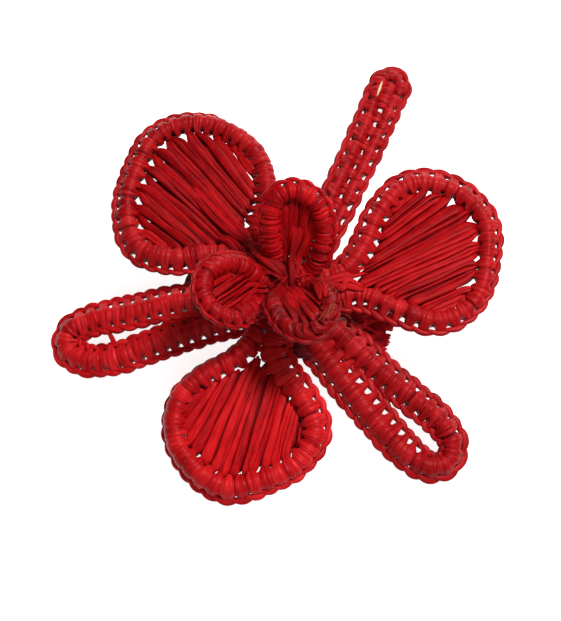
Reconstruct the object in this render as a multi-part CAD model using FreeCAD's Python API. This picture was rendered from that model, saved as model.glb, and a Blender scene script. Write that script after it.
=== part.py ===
import FreeCAD
import Part
import math
import os

from FreeCAD import Vector

# A raffia flower on a toothed hair clip.  Millimetres, +Z up.
# The origin is on the underside of the lower jaw, straight below the middle of the flower.
# +X runs along the clip, from the jaw tips (-X) to the finger tabs (+X).

# ---- Clip, stamped from sheet steel -------------------------------------------------
SHEET = 0.6                    # thickness of both jaws
CLIP_WIDTH = 8.4
JAW_TIP_X = -23.0
TAB_END_X = 18.5
FLANGE_END_X = 2.0             # the toothed side walls stop here
UPPER_UNDERSIDE_Z = 5.1        # underside of the upper jaw's plate
BEND_X = 9.0                   # the upper finger tab turns up behind this line
TAB_SLOPE_DEG = 12.0
TIP_CORNER = 2.5               # rounded corners of the jaw tips and tabs, seen from above
TOOTH_PITCH = 2.2
TOOTH_DEPTH = 0.9
TOOTH_LINE_Z = 2.4             # lowest point of the bite line between the jaws
BITE_GAP = 0.2                 # air between the closed teeth

# ---- Hinge --------------------------------------------------------------------------
HINGE_X = 8.0
HINGE_Z = 3.0
EAR_RADIUS = 1.7
EAR_CLEARANCE = 0.15           # side gap between the inner and outer ears
PIN_RADIUS = 0.75
PIN_RUNNING_GAP = 0.04         # on the lower jaw, which turns on the pin
PIN_HEAD_RADIUS = 1.3
PIN_HEAD_THICKNESS = 0.5
SPRING_WIRE_RADIUS = 0.3
SPRING_COIL_RADIUS = 1.2       # to the middle of the wire
SPRING_PITCH = 0.75
SPRING_TURNS = 3.5
SPRING_LEG_REACH = 8.8         # length of each leg
SPRING_SEAT_GAP = 0.1          # between a leg's end and its finger tab
SPRING_STATIONS = 20           # points on the coil, joined by arcs

# ---- Crocheted backing strip, glued on the upper jaw ---------------------------------
GLUE_THICKNESS = 0.25
PAD_THICKNESS = 1.5
PAD_WIDTH = 9.2
PAD_START_X = -22.0
PAD_END_X = 19.5
PAD_CORNER = 2.0
UPPER_TOP_Z = UPPER_UNDERSIDE_Z + SHEET
PAD_TOP_Z = UPPER_TOP_Z + GLUE_THICKNESS + PAD_THICKNESS
PLAN_HEIGHT = 20.0             # tall enough to cut any of the bent sheets
TUFT_STRIPS = 9
TUFT_LENGTH = 1.4
TUFT_ROOT = 0.8                # length inside the backing strip
TUFT_WIDTH = 0.6
TUFT_SPREAD_DEG = 50.0
TUFT_DROOP_DEG = 12.0

# ---- Knot that gathers the petals -----------------------------------------------------
HUB_RADIUS = 7.0
HUB_FOOT_RADIUS = 5.6
HUB_FOOT_TOP_Z = 9.3
HUB_SHOULDER = (5.8, 18.6)     # (radius, z) where the cupped petals leave the knot
HUB_CROWN = (3.2, 20.4)
HUB_TOP_Z = 21.0
WHIPPING_RADIUS = 0.45         # cord wound round the foot of the knot
WHIPPING_TURNS = 2
LOOP_Z = 11.2                  # the three layers of petals leave the knot at these heights
PETAL_Z = 15.0
CUP_Z = 18.2

# ---- Petals ---------------------------------------------------------------------------
WIRE_RADIUS = 0.6              # soft iron core wire
CHAIN_RADIUS = 0.55            # crochet chain along a petal's edge
CHAIN_START = 2.0              # the chains begin this far out from the ends of the band
INNER_CHAIN_RADIUS = 0.7       # chain round the inside of an open loop, with its stitches
WIRE_GRIP = 3.0                # length of each wire end inside the knot
SOCKET_REACH = 4.0             # longer than a band's way out of the knot
STRIP_THICKNESS = 0.45
STRIP_TUCK = 0.25              # how far a fill strip is pushed into the band
STRIP_FILL = 0.88              # a strip's share of the spacing
STRIP_LEAST_SPREAD = 0.3       # strips end where their fan has narrowed to this share
STRIP_START = 3.0              # no strip comes nearer to the knot than this
STRIP_STEP = 0.3               # fineness of the strips' lengths
WIDEST_AT = 0.62               # where a petal is widest, as a share of its length
SEAM_STITCHES = 14             # between the two arms of the closed loop
SEAM_START = 6.0
SEAM_PITCH = 2.9
SEAM_SLANT = 0.9
SEAM_RADIUS = 0.5
SEAM_TUCK = 0.35               # how far a stitch is pushed into each band

# Loose strips over the middle of the flower: (radius, azimuth, z) of each bend.
STRAND_RADIUS = 0.45
STRAND_ROUTES = [
    [(14, 147, 17.0), (8.5, 148, 17.6), (6.4, 151, 20.2), (4.2, 158, 21.7)],
    [(13, 153, 17.8), (8.8, 154, 18.6), (6.6, 158, 20.8), (4.6, 168, 22.6)],
    [(12, 31, 17.4), (8.4, 27, 18.0), (6.6, 20, 19.6), (5.2, 12, 20.9)],
]

# Each petal lies on a curved sheet.  Its middle line leaves the knot at 'start' from the
# flower's axis, at 'height', and climbs at an angle that goes from 'lift' to 'droop'
# (degrees) over 'reach'.  'cup' bends the sides up (mm per mm squared).
# 'outline' is the middle of the rim band: (distance along the middle line, distance to
# the left of it), from one end in the knot round the tip to the other.
# 'roll' turns the edge chain out of the sheet, at the start, tip and end of the outline.
# 'strips' is the number of fill strips, and 'lean' their slope to the middle line at the
# petal's right edge, middle and left edge.  'slot' is where a loop's open slot begins.
ROUND_PETALS = {
    "upper_left": dict(
        azimuth=147, start=6.0, height=PETAL_Z, lift=4, droop=-8, reach=38, cup=-0.002,
        band=1.85, roll=(0, -30, -70), strips=14, lean=(-0.18, 0.02, 0.2),
        outline=[(0, 2.1), (8.5, 2.6), (12, 6.1), (16.4, 12.2), (22.7, 15.5), (31, 12),
                 (36.5, 4.6), (39.5, -3.5), (36.6, -10.9), (29.6, -15.1), (20.4, -15.2),
                 (13.3, -10.3), (8.5, -3.8), (0, -2.1)]),
    "right": dict(
        azimuth=34, start=6.0, height=PETAL_Z, lift=4, droop=-4, reach=36, cup=0.0,
        band=1.65, roll=(-20, 0, 0), strips=14, lean=(0.1, 0.14, 0.5),
        outline=[(0, 2.1), (6.5, 2.4), (11, 5.4), (17, 11.7), (24.5, 15.2), (32.2, 11.7),
                 (36.3, 3.9), (33.8, -4.9), (27.8, -13), (20.2, -14.4), (13, -9.1),
                 (7.5, -4.3), (0, -2.1)]),
    "lower": dict(
        azimuth=265, start=6.0, height=PETAL_Z, lift=2, droop=-18, reach=36, cup=-0.003,
        band=1.85, roll=(0, 0, -60), strips=14, lean=(-0.3, 0.03, 0.12),
        outline=[(0, -0.6), (5, -0.1), (9.5, 3.6), (13.2, 9.1), (18.5, 13.6), (25.3, 12.8),
                 (31.3, 7.4), (34.6, 0.3), (33, -6.7), (28.5, -12.5), (21.5, -14.2),
                 (14.5, -10.6), (9.5, -6.4), (5, -4.6), (0, -4.8)]),
}
LOOPS = {
    "left": dict(
        azimuth=201, start=6.0, height=LOOP_Z, lift=-2, droop=-19, reach=42, cup=0.0,
        band=1.85, roll=(0, 0, 0), slot=19,
        outline=[(0, 1.4), (9, 2.1), (16, 3.2), (24, 5), (33, 6.2), (38.3, 4.9),
                 (41.2, 1.5), (39.9, -1.6), (36, -2.7), (27, -2.9), (18, -3.5),
                 (9, -3.3), (0, -2.9)]),
    "lower_right": dict(
        azimuth=331, start=6.0, height=LOOP_Z, lift=-2, droop=-20, reach=40, cup=0.0,
        band=1.85, roll=(0, 0, -20), slot=17,
        outline=[(0, 2.2), (9, 2.2), (17, 2.4), (25, 3.3), (32, 3.9), (36.6, 2.6),
                 (38.5, -0.3), (37.2, -3.5), (32.3, -5.6), (25, -5.7), (17, -4.9),
                 (9, -3.7), (0, -2.2)]),
    "upper_right": dict(
        azimuth=83, start=6.0, height=LOOP_Z, lift=0, droop=-15, reach=50, cup=0.0,
        band=1.25, roll=(35, 10, 0),
        outline=[(0, 1.8), (8, 1.8), (16, 1.6), (28, 1.3), (40, 1.4), (48.5, 2.0),
                 (51.8, 1.8), (53.2, 0), (51.6, -1.8), (45, -2.2), (32, -2.2),
                 (16, -1.9), (8, -1.9), (0, -2.1)]),
}
CUPPED_PETALS = {
    "top": dict(
        azimuth=98, start=4.6, height=CUP_Z, lift=60, droop=40, reach=18, cup=0.02,
        band=1.6, roll=(0, 0, 0), strips=5, lean=(-0.2, 0.0, 0.2),
        outline=[(0, 2.7), (4, 4.2), (9, 5.4), (13.5, 5.6), (17, 4), (17.8, 0.8),
                 (16, -2.8), (12, -4.8), (7, -4.8), (3, -4), (0, -2.7)]),
    "left": dict(
        azimuth=210, start=4.6, height=CUP_Z, lift=50, droop=30, reach=17, cup=0.02,
        band=1.6, roll=(0, 0, 0), strips=5, lean=(0.45, 0.5, 0.55),
        outline=[(0, 2.0), (3.5, 1.9), (8, 3.8), (12.7, 5.6), (16, 3.7), (17.3, 0.2),
                 (15.8, -4), (11.5, -6.2), (6.5, -6), (3, -4.4), (0, -2.9)]),
    "front": dict(
        azimuth=298, start=0.8, height=CUP_Z + 1.5, lift=68, droop=18, reach=17, cup=0.02,
        band=1.5, roll=(0, 0, 0), strips=5, lean=(0.15, 0.25, 0.35),
        outline=[(0, 1.8), (4, 4.2), (9, 5.4), (13.5, 5.1), (16.8, 3), (17.6, -0.2),
                 (15.6, -3.4), (10.5, -4.8), (5, -4), (0, -1.8)]),
}


# ---- Curves on a petal's sheet ---------------------------------------------------------
def petal_point(petal, along, across):
    """Point of the petal's sheet at (along, across)."""
    lift = math.radians(petal["lift"])
    bend = (math.radians(petal["droop"]) - lift) / petal["reach"]
    angle = lift + bend * along
    out = petal["start"] + (math.sin(angle) - math.sin(lift)) / bend
    up = petal["height"] - (math.cos(angle) - math.cos(lift)) / bend
    azimuth = math.radians(petal["azimuth"])
    outward = Vector(math.cos(azimuth), math.sin(azimuth), 0)
    sideways = Vector(-math.sin(azimuth), math.cos(azimuth), 0)
    normal = outward * -math.sin(angle) + Vector(0, 0, math.cos(angle))
    middle = outward * out + Vector(0, 0, up)
    return middle + sideways * across + normal * (petal["cup"] * across ** 2)


def petal_normal(petal, along, across):
    step = 0.01
    down_length = petal_point(petal, along + step, across) - petal_point(petal, along - step, across)
    over_width = petal_point(petal, along, across + step) - petal_point(petal, along, across - step)
    return down_length.cross(over_width).normalize()


def tangents(points, first, last):
    """Direction at each point: the circle through it and its two neighbours."""
    found = [first]
    for before, here, after in zip(points, points[1:], points[2:]):
        a = here - before
        b = after - here
        found.append((a * (b.Length / a.Length) + b * (a.Length / b.Length)).normalize())
    found.append(last)
    return found


def arc_edge(start, corner, end):
    """Arc from start to end whose end tangents meet at corner."""
    chord_middle = (start + end) * 0.5
    rise = (corner - chord_middle).Length
    half_chord = (end - start).Length / 2
    if rise < 1e-4 * half_chord:
        return Part.LineSegment(start, end).toShape()
    sagitta = half_chord * math.tan(math.atan2(rise, half_chord) / 2)
    return Part.Arc(start, chord_middle + (corner - chord_middle) * (sagitta / rise), end).toShape()


def smooth_wire(points, directions):
    """Wire of tangent arcs, two from each point to the next."""
    edges = []
    for i in range(len(points) - 1):
        gap = points[i + 1] - points[i]
        both = directions[i] + directions[i + 1]
        spread = 2 * (1 - directions[i].dot(directions[i + 1]))
        if spread < 1e-9:
            reach = gap.dot(gap) / (4 * gap.dot(directions[i + 1]))
        else:
            lean = gap.dot(both)
            reach = (math.sqrt(lean ** 2 + spread * gap.dot(gap)) - lean) / spread
        first_corner = points[i] + directions[i] * reach
        second_corner = points[i + 1] - directions[i + 1] * reach
        joint = (first_corner + second_corner) * 0.5
        edges.append(arc_edge(points[i], first_corner, joint))
        edges.append(arc_edge(joint, second_corner, points[i + 1]))
    return edges


def tube(edges, radius):
    wire = Part.Wire(edges)
    start = edges[0].firstVertex().Point
    direction = edges[0].tangentAt(edges[0].FirstParameter)
    disc = Part.Face(Part.Wire(Part.makeCircle(radius, start, direction)))
    solid = wire.makePipe(disc)
    expected = math.pi * radius ** 2 * wire.Length
    assert solid.isValid() and abs(solid.Volume / expected - 1) < 0.01
    return solid


def rim_frames(petal):
    """Middle, direction, outward and normal of the rim band at each outline point."""
    outline = petal["outline"]
    points = [petal_point(petal, s, v) for s, v in outline]
    outward_start = petal_point(petal, outline[0][0] + 0.01, outline[0][1]) - points[0]
    outward_end = petal_point(petal, outline[-1][0] + 0.01, outline[-1][1]) - points[-1]
    directions = tangents(points, outward_start.normalize(), outward_end.normalize() * -1)
    frames = []
    for (s, v), point, direction in zip(outline, points, directions):
        normal = petal_normal(petal, s, v)
        frames.append((point, direction, direction.cross(normal).normalize() * -1, normal))
    return frames


def rim_wire(petal):
    frames = rim_frames(petal)
    return smooth_wire([f[0] for f in frames], [f[1] for f in frames])


def straight_ends(edges, length):
    """The same edges with a straight run added before the first and after the last."""
    start = edges[0].firstVertex().Point
    end = edges[-1].lastVertex().Point
    into = edges[0].tangentAt(edges[0].FirstParameter)
    away = edges[-1].tangentAt(edges[-1].LastParameter)
    head = Part.LineSegment(start - into * length, start).toShape()
    tail = Part.LineSegment(end, end + away * length).toShape()
    return [head] + edges + [tail]


def roll_at(petal, fraction):
    start, tip, end = petal["roll"]
    if fraction < 0.5:
        return start + (tip - start) * fraction * 2
    return tip + (end - tip) * (fraction - 0.5) * 2


def offset_wire(petal, distance, rolled):
    """A line beside the rim band: distance is positive outside it, negative inside."""
    frames = rim_frames(petal)
    points = []
    for i, (point, direction, outward, normal) in enumerate(frames):
        roll = math.radians(roll_at(petal, i / (len(frames) - 1))) if rolled else 0
        points.append(point + (outward * math.cos(roll) + normal * math.sin(roll)) * distance)
    points[0] = points[0] + (points[1] - points[0]).normalize() * CHAIN_START
    points[-1] = points[-1] + (points[-2] - points[-1]).normalize() * CHAIN_START
    first = (points[1] - points[0]).normalize()
    last = (points[-1] - points[-2]).normalize()
    return smooth_wire(points, tangents(points, first, last))


# ---- Pieces of a petal -----------------------------------------------------------------
def core_wire(petal):
    return tube(straight_ends(rim_wire(petal), WIRE_GRIP), WIRE_RADIUS)


def rim_band(petal):
    edges = rim_wire(petal)
    return tube(edges, petal["band"]).cut(tube(edges, WIRE_RADIUS))


def edge_chain(petal):
    return tube(offset_wire(petal, petal["band"] + CHAIN_RADIUS, True), CHAIN_RADIUS)


def across_at(arm, s):
    """Distance from the middle line of one arm of a loop, where it passes s."""
    for (s0, v0), (s1, v1) in zip(arm, arm[1:]):
        if min(s0, s1) <= s <= max(s0, s1) and s0 != s1:
            return v0 + (v1 - v0) * (s - s0) / (s1 - s0)
    return 0.0


def inner_chain(petal):
    """Chain round the inside of an open loop, from where its slot begins."""
    outline = petal["outline"]
    tip = outline.index(max(outline))
    slot = petal["slot"]
    inside = [(slot, across_at(outline[:tip + 1], slot))]
    inside += [(s, v) for s, v in outline if s > slot]
    inside += [(slot, across_at(outline[tip:], slot))]
    trimmed = dict(petal, outline=inside)
    return tube(offset_wire(trimmed, -(petal["band"] + INNER_CHAIN_RADIUS), False), INNER_CHAIN_RADIUS)


def strip_solid(petal, start, end, width_start, width_end):
    """A flat strip on the petal's sheet, in two straight runs from start to end."""
    sections = []
    for t in (0.0, 0.5, 1.0):
        s = start[0] + (end[0] - start[0]) * t
        v = start[1] + (end[1] - start[1]) * t
        centre = petal_point(petal, s, v)
        ahead = petal_point(petal, s + (end[0] - start[0]) * 0.01, v + (end[1] - start[1]) * 0.01)
        up = petal_normal(petal, s, v)
        width = width_start + (width_end - width_start) * t
        side = up.cross((ahead - centre).normalize()).normalize() * (width / 2)
        half = up * (STRIP_THICKNESS / 2)
        corners = [centre - side - half, centre + side - half,
                   centre + side + half, centre - side + half]
        sections.append(Part.makePolygon(corners + [corners[0]]))
    return Part.makeLoft(sections, True, True)


def fine_outline(outline):
    """The outline with points added along its curve."""
    points = [Vector(s, v, 0) for s, v in outline]
    edges = smooth_wire(points, tangents(points, Vector(1, 0, 0), Vector(-1, 0, 0)))
    fine = [point for edge in edges for point in edge.discretize(4)[:-1]]
    return [(point.x, point.y) for point in fine + points[-1:]]


def inside_rim(outline, s, v):
    """True where (s, v) lies inside the polygon of the outline's points."""
    inside = False
    for (s0, v0), (s1, v1) in zip(outline, outline[1:] + outline[:1]):
        if (v0 > v) != (v1 > v) and s < s0 + (v - v0) * (s1 - s0) / (v1 - v0):
            inside = not inside
    return inside


def rim_distance(outline, s, v):
    nearest = 1e9
    for (s0, v0), (s1, v1) in zip(outline, outline[1:]):
        length2 = (s1 - s0) ** 2 + (v1 - v0) ** 2
        t = max(0.0, min(1.0, ((s - s0) * (s1 - s0) + (v - v0) * (v1 - v0)) / length2))
        nearest = min(nearest, math.hypot(s - s0 - t * (s1 - s0), v - v0 - t * (v1 - v0)))
    return nearest


def strip_end(outline, inset, middle, slope, spread, way):
    """Walk along a strip from the wide middle of the petal until it is in under the rim."""
    end = None
    steps = 0
    while True:
        run = way * steps * STRIP_STEP
        s = middle[0] + run
        v = middle[1] + slope * run
        if s < STRIP_START or 1 + spread * run < STRIP_LEAST_SPREAD:
            return end
        if not inside_rim(outline, s, v) or rim_distance(outline, s, v) < inset:
            return end
        end = (s, v)
        steps += 1


def fill_strips(petal):
    """Raffia strips stretched side by side from the petal's neck to its tip."""
    outline = fine_outline(petal["outline"])
    left = max(v for s, v in petal["outline"]) - petal["band"]
    right = min(v for s, v in petal["outline"]) + petal["band"]
    middle_v = (left + right) / 2
    half_width = (left - right) / 2
    middle_s = max(s for s, v in petal["outline"]) * WIDEST_AT
    pitch = 2 * half_width / petal["strips"]
    at_right, at_middle, at_left = petal["lean"]
    inset = petal["band"] - STRIP_TUCK
    solids = []
    for i in range(petal["strips"]):
        off_middle = right + pitch * (i + 0.5) - middle_v
        change = at_left - at_middle if off_middle > 0 else at_middle - at_right
        spread = change / half_width            # slope per millimetre off the middle
        slope = at_middle + spread * off_middle
        middle = (middle_s, middle_v + off_middle)
        neck = strip_end(outline, inset, middle, slope, spread, -1)
        tip = strip_end(outline, inset, middle, slope, spread, 1)
        if neck is None or tip is None:
            continue
        widths = [STRIP_FILL * pitch * (1 + spread * (s - middle_s)) for s, v in (neck, tip)]
        solids.append(strip_solid(petal, neck, tip, *widths))
    return Part.makeCompound(solids)


def seam_stitches(petal):
    """Slanting stitches that draw the two arms of a loop together."""
    outline = petal["outline"]
    tip = outline.index(max(outline))
    solids = []
    for i in range(SEAM_STITCHES):
        s = SEAM_START + i * SEAM_PITCH
        inset = petal["band"] - SEAM_TUCK
        left = petal_point(petal, s, across_at(outline[:tip + 1], s) - inset)
        right = petal_point(petal, s + SEAM_SLANT, across_at(outline[tip:], s + SEAM_SLANT) + inset)
        across = right - left
        solids.append(Part.makeCylinder(SEAM_RADIUS, across.Length, left, across))
    return Part.makeCompound(solids)


# ---- The knot, and what is wound round it ------------------------------------------------
def revolved(edges):
    return Part.Face(Part.Wire(edges)).revolve(Vector(0, 0, 0), Vector(0, 0, 1), 360)


def hub_knot(petals):
    """The bound stems of all the petals, with a socket for each wire and band."""
    foot = Vector(HUB_FOOT_RADIUS, 0, PAD_TOP_Z)
    waist = Vector(HUB_FOOT_RADIUS, 0, HUB_FOOT_TOP_Z)
    belly_low = Vector(HUB_RADIUS, 0, LOOP_Z)
    belly_high = Vector(HUB_RADIUS, 0, PETAL_Z)
    shoulder = Vector(HUB_SHOULDER[0], 0, HUB_SHOULDER[1])
    crown = Vector(HUB_CROWN[0], 0, HUB_CROWN[1])
    top = Vector(0, 0, HUB_TOP_Z)
    bottom = Vector(0, 0, PAD_TOP_Z)
    corners = [bottom, foot, waist, belly_low, belly_high, shoulder, crown, top, bottom]
    edges = [Part.LineSegment(a, b).toShape() for a, b in zip(corners, corners[1:])]
    knot = revolved(edges)
    sockets = []
    for petal in petals:
        edges = rim_wire(petal)
        start = edges[0].firstVertex().Point
        end = edges[-1].lastVertex().Point
        into = edges[0].tangentAt(edges[0].FirstParameter) * -1
        away = edges[-1].tangentAt(edges[-1].LastParameter)
        for point, inward in ((start, into), (end, away)):
            sockets.append(Part.makeCylinder(WIRE_RADIUS, WIRE_GRIP, point, inward))
            sockets.append(Part.makeCylinder(petal["band"], SOCKET_REACH, point, inward * -1))
    return knot.cut(sockets)


def hub_whipping():
    rings = []
    for turn in range(WHIPPING_TURNS):
        z = PAD_TOP_Z + WHIPPING_RADIUS * (1 + 2 * turn)
        rings.append(Part.makeTorus(HUB_FOOT_RADIUS + WHIPPING_RADIUS, WHIPPING_RADIUS, Vector(0, 0, z)))
    return Part.makeCompound(rings)


def centre_strands():
    """Loose strips that cross the middle of the flower."""
    solids = []
    for route in STRAND_ROUTES:
        points = []
        for radius, azimuth, z in route:
            angle = math.radians(azimuth)
            points.append(Vector(radius * math.cos(angle), radius * math.sin(angle), z))
        first = (points[1] - points[0]).normalize()
        last = (points[-1] - points[-2]).normalize()
        solids.append(tube(smooth_wire(points, tangents(points, first, last)), STRAND_RADIUS))
    return Part.makeCompound(solids)


# ---- Backing strip ---------------------------------------------------------------------
def tab_rise(x):
    return max(0.0, x - BEND_X) * math.tan(math.radians(TAB_SLOPE_DEG))


def plan_prism(start_x, end_x, width, corner):
    """Upright block with rounded corners, to cut a bent sheet to its plan outline."""
    block = Part.makeBox(end_x - start_x, width, PLAN_HEIGHT, Vector(start_x, -width / 2, -1))
    upright = [e for e in block.Edges if abs(e.tangentAt(e.FirstParameter).z) > 0.9]
    return block.makeFillet(corner, upright)


def bent_sheet(underside_z, thickness, start_x, end_x, width, corner):
    """A sheet that follows the top of the upper jaw, bend and all."""
    side = [(start_x, underside_z), (BEND_X, underside_z), (end_x, underside_z + tab_rise(end_x))]
    side += [(x, z + thickness) for x, z in reversed(side)]
    points = [Vector(x, -width / 2, z) for x, z in side]
    face = Part.Face(Part.makePolygon(points + [points[0]]))
    return face.extrude(Vector(0, width, 0)).common(plan_prism(start_x, end_x, width, corner))


def frayed_tuft():
    """Ends of the backing's strips, spread out past the finger tab."""
    root_z = PAD_TOP_Z - PAD_THICKNESS / 2 + tab_rise(PAD_END_X)
    solids = []
    for i in range(TUFT_STRIPS):
        share = i / (TUFT_STRIPS - 1) - 0.5
        length = TUFT_LENGTH * (1 - 0.5 * abs(share) - 0.15 * (i % 2))
        strip = Part.makeBox(length + TUFT_ROOT, TUFT_WIDTH, STRIP_THICKNESS,
                             Vector(-TUFT_ROOT, -TUFT_WIDTH / 2, -STRIP_THICKNESS / 2))
        strip.rotate(Vector(0, 0, 0), Vector(0, 1, 0), -TAB_SLOPE_DEG + TUFT_DROOP_DEG * (i % 3 - 1))
        strip.rotate(Vector(0, 0, 0), Vector(0, 0, 1), TUFT_SPREAD_DEG * share)
        strip.translate(Vector(PAD_END_X, share * (PAD_WIDTH - 2 * PAD_CORNER), root_z))
        solids.append(strip)
    return Part.makeCompound(solids)


# ---- Clip --------------------------------------------------------------------------------
def bite_line():
    """Zigzag between the jaws' teeth, from the tips towards the hinge."""
    points = []
    start = JAW_TIP_X + TIP_CORNER
    count = int((FLANGE_END_X - start) / TOOTH_PITCH)
    for i in range(2 * count + 1):
        points.append((start + i * TOOTH_PITCH / 2, TOOTH_LINE_Z + TOOTH_DEPTH * (i % 2)))
    return points


def side_walls(root_z, shift):
    """The two toothed flanges of a jaw whose plate is at root_z."""
    teeth = [(x, z + shift) for x, z in bite_line()]
    outline = [(teeth[0][0], root_z)] + teeth + [(teeth[-1][0], root_z)]
    walls = []
    for y in (-CLIP_WIDTH / 2, CLIP_WIDTH / 2 - SHEET):
        points = [Vector(x, y, z) for x, z in outline]
        walls.append(Part.Face(Part.makePolygon(points + [points[0]])).extrude(Vector(0, SHEET, 0)))
    return walls


def ears(root_z, outer_y):
    """Two hinge ears whose outside faces are at +-outer_y, with no bore yet."""
    solids = []
    for y in (-outer_y, outer_y - SHEET):
        low = min(root_z, HINGE_Z)
        web = Part.makeBox(2 * EAR_RADIUS, SHEET, abs(root_z - HINGE_Z),
                           Vector(HINGE_X - EAR_RADIUS, y, low))
        eye = Part.makeCylinder(EAR_RADIUS, SHEET, Vector(HINGE_X, y, HINGE_Z), Vector(0, 1, 0))
        solids.append(web.fuse(eye))
    return solids


def hinge_bore(radius):
    return Part.makeCylinder(radius, 2 * CLIP_WIDTH, Vector(HINGE_X, -CLIP_WIDTH, HINGE_Z),
                             Vector(0, 1, 0))


def clip_upper_jaw():
    plate = bent_sheet(UPPER_UNDERSIDE_Z, SHEET, JAW_TIP_X, TAB_END_X, CLIP_WIDTH, TIP_CORNER)
    root_z = UPPER_UNDERSIDE_Z + SHEET / 2
    parts = side_walls(root_z, BITE_GAP / 2) + ears(root_z, CLIP_WIDTH / 2)
    return plate.fuse(parts).removeSplitter().cut(hinge_bore(PIN_RADIUS))


def clip_lower_jaw():
    prism = plan_prism(JAW_TIP_X, TAB_END_X, CLIP_WIDTH, TIP_CORNER)
    plate = Part.makeBox(TAB_END_X - JAW_TIP_X, CLIP_WIDTH, SHEET,
                         Vector(JAW_TIP_X, -CLIP_WIDTH / 2, 0)).common(prism)
    inner_ear_y = CLIP_WIDTH / 2 - SHEET - EAR_CLEARANCE
    parts = side_walls(SHEET / 2, -BITE_GAP / 2) + ears(SHEET / 2, inner_ear_y)
    return plate.fuse(parts).removeSplitter().cut(hinge_bore(PIN_RADIUS + PIN_RUNNING_GAP))


def clip_hinge_pin():
    half = CLIP_WIDTH / 2
    along = Vector(0, 1, 0)
    shank = Part.makeCylinder(PIN_RADIUS, CLIP_WIDTH, Vector(HINGE_X, -half, HINGE_Z), along)
    near_head = Part.makeCylinder(PIN_HEAD_RADIUS, PIN_HEAD_THICKNESS,
                                  Vector(HINGE_X, -half - PIN_HEAD_THICKNESS, HINGE_Z), along)
    far_head = Part.makeCylinder(PIN_HEAD_RADIUS, PIN_HEAD_THICKNESS,
                                 Vector(HINGE_X, half, HINGE_Z), along)
    return shank.fuse([near_head, far_head]).removeSplitter()


def clip_torsion_spring():
    """Coil round the pin, with one leg on the lower tab and one under the upper tab."""
    leg_x = HINGE_X + SPRING_LEG_REACH
    low_z = SHEET + SPRING_WIRE_RADIUS + SPRING_SEAT_GAP
    high_z = UPPER_UNDERSIDE_Z + tab_rise(leg_x) - SPRING_WIRE_RADIUS - SPRING_SEAT_GAP
    coil_bottom = HINGE_Z - SPRING_COIL_RADIUS
    coil_top = HINGE_Z + SPRING_COIL_RADIUS
    low_slope = math.atan2(coil_bottom - low_z, SPRING_LEG_REACH)
    high_slope = math.atan2(high_z - coil_top, SPRING_LEG_REACH)
    start_angle = -math.pi / 2 - low_slope
    end_angle = math.pi / 2 + high_slope - 2 * math.pi * math.ceil(SPRING_TURNS)
    climb = SPRING_PITCH / (2 * math.pi)        # along the pin, per radian of coil
    half_length = climb * (start_angle - end_angle) / 2
    points = []
    directions = []
    for i in range(SPRING_STATIONS + 1):
        angle = start_angle + (end_angle - start_angle) * i / SPRING_STATIONS
        y = climb * (start_angle - angle) - half_length
        points.append(Vector(HINGE_X + SPRING_COIL_RADIUS * math.cos(angle), y,
                             HINGE_Z + SPRING_COIL_RADIUS * math.sin(angle)))
        directions.append(Vector(math.sin(angle) * SPRING_COIL_RADIUS, climb,
                                 -math.cos(angle) * SPRING_COIL_RADIUS).normalize())
    edges = straight_ends(smooth_wire(points, directions), SPRING_LEG_REACH)
    return tube(edges, SPRING_WIRE_RADIUS)


# ---- Build -------------------------------------------------------------------------------
def build():
    parts = {
        "clip_upper_jaw": clip_upper_jaw(),
        "clip_lower_jaw": clip_lower_jaw(),
        "clip_hinge_pin": clip_hinge_pin(),
        "clip_torsion_spring": clip_torsion_spring(),
        "glue_layer": bent_sheet(UPPER_TOP_Z, GLUE_THICKNESS, PAD_START_X + 1, PAD_END_X - 1,
                                 CLIP_WIDTH - 1, PAD_CORNER),
        "backing_strip": bent_sheet(PAD_TOP_Z - PAD_THICKNESS, PAD_THICKNESS, PAD_START_X,
                                    PAD_END_X, PAD_WIDTH, PAD_CORNER),
        "frayed_tuft": frayed_tuft(),
        "hub_whipping": hub_whipping(),
        "centre_strands": centre_strands(),
    }
    every_petal = list(ROUND_PETALS.values()) + list(LOOPS.values()) + list(CUPPED_PETALS.values())
    parts["hub_knot"] = hub_knot(every_petal)
    for family, ending in ((ROUND_PETALS, "petal"), (LOOPS, "loop"), (CUPPED_PETALS, "cup")):
        for side, petal in family.items():
            name = side + "_" + ending
            parts[name + "_wire"] = core_wire(petal)
            parts[name + "_band"] = rim_band(petal)
            parts[name + "_edge_chain"] = edge_chain(petal)
            if side == "upper_right":
                parts[name + "_seam"] = seam_stitches(petal)
            elif ending == "loop":
                parts[name + "_inner_chain"] = inner_chain(petal)
            else:
                parts[name + "_fill"] = fill_strips(petal)
    return parts


os.makedirs("parts", exist_ok=True)
for name, shape in build().items():
    assert shape.isValid(), name
    shape.exportStep("parts/" + name + ".step")
    print("%-30s %2d solids %8.1f mm3" % (name, len(shape.Solids), shape.Volume))
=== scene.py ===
from math import cos, dist, pi, radians, sin, tan

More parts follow.
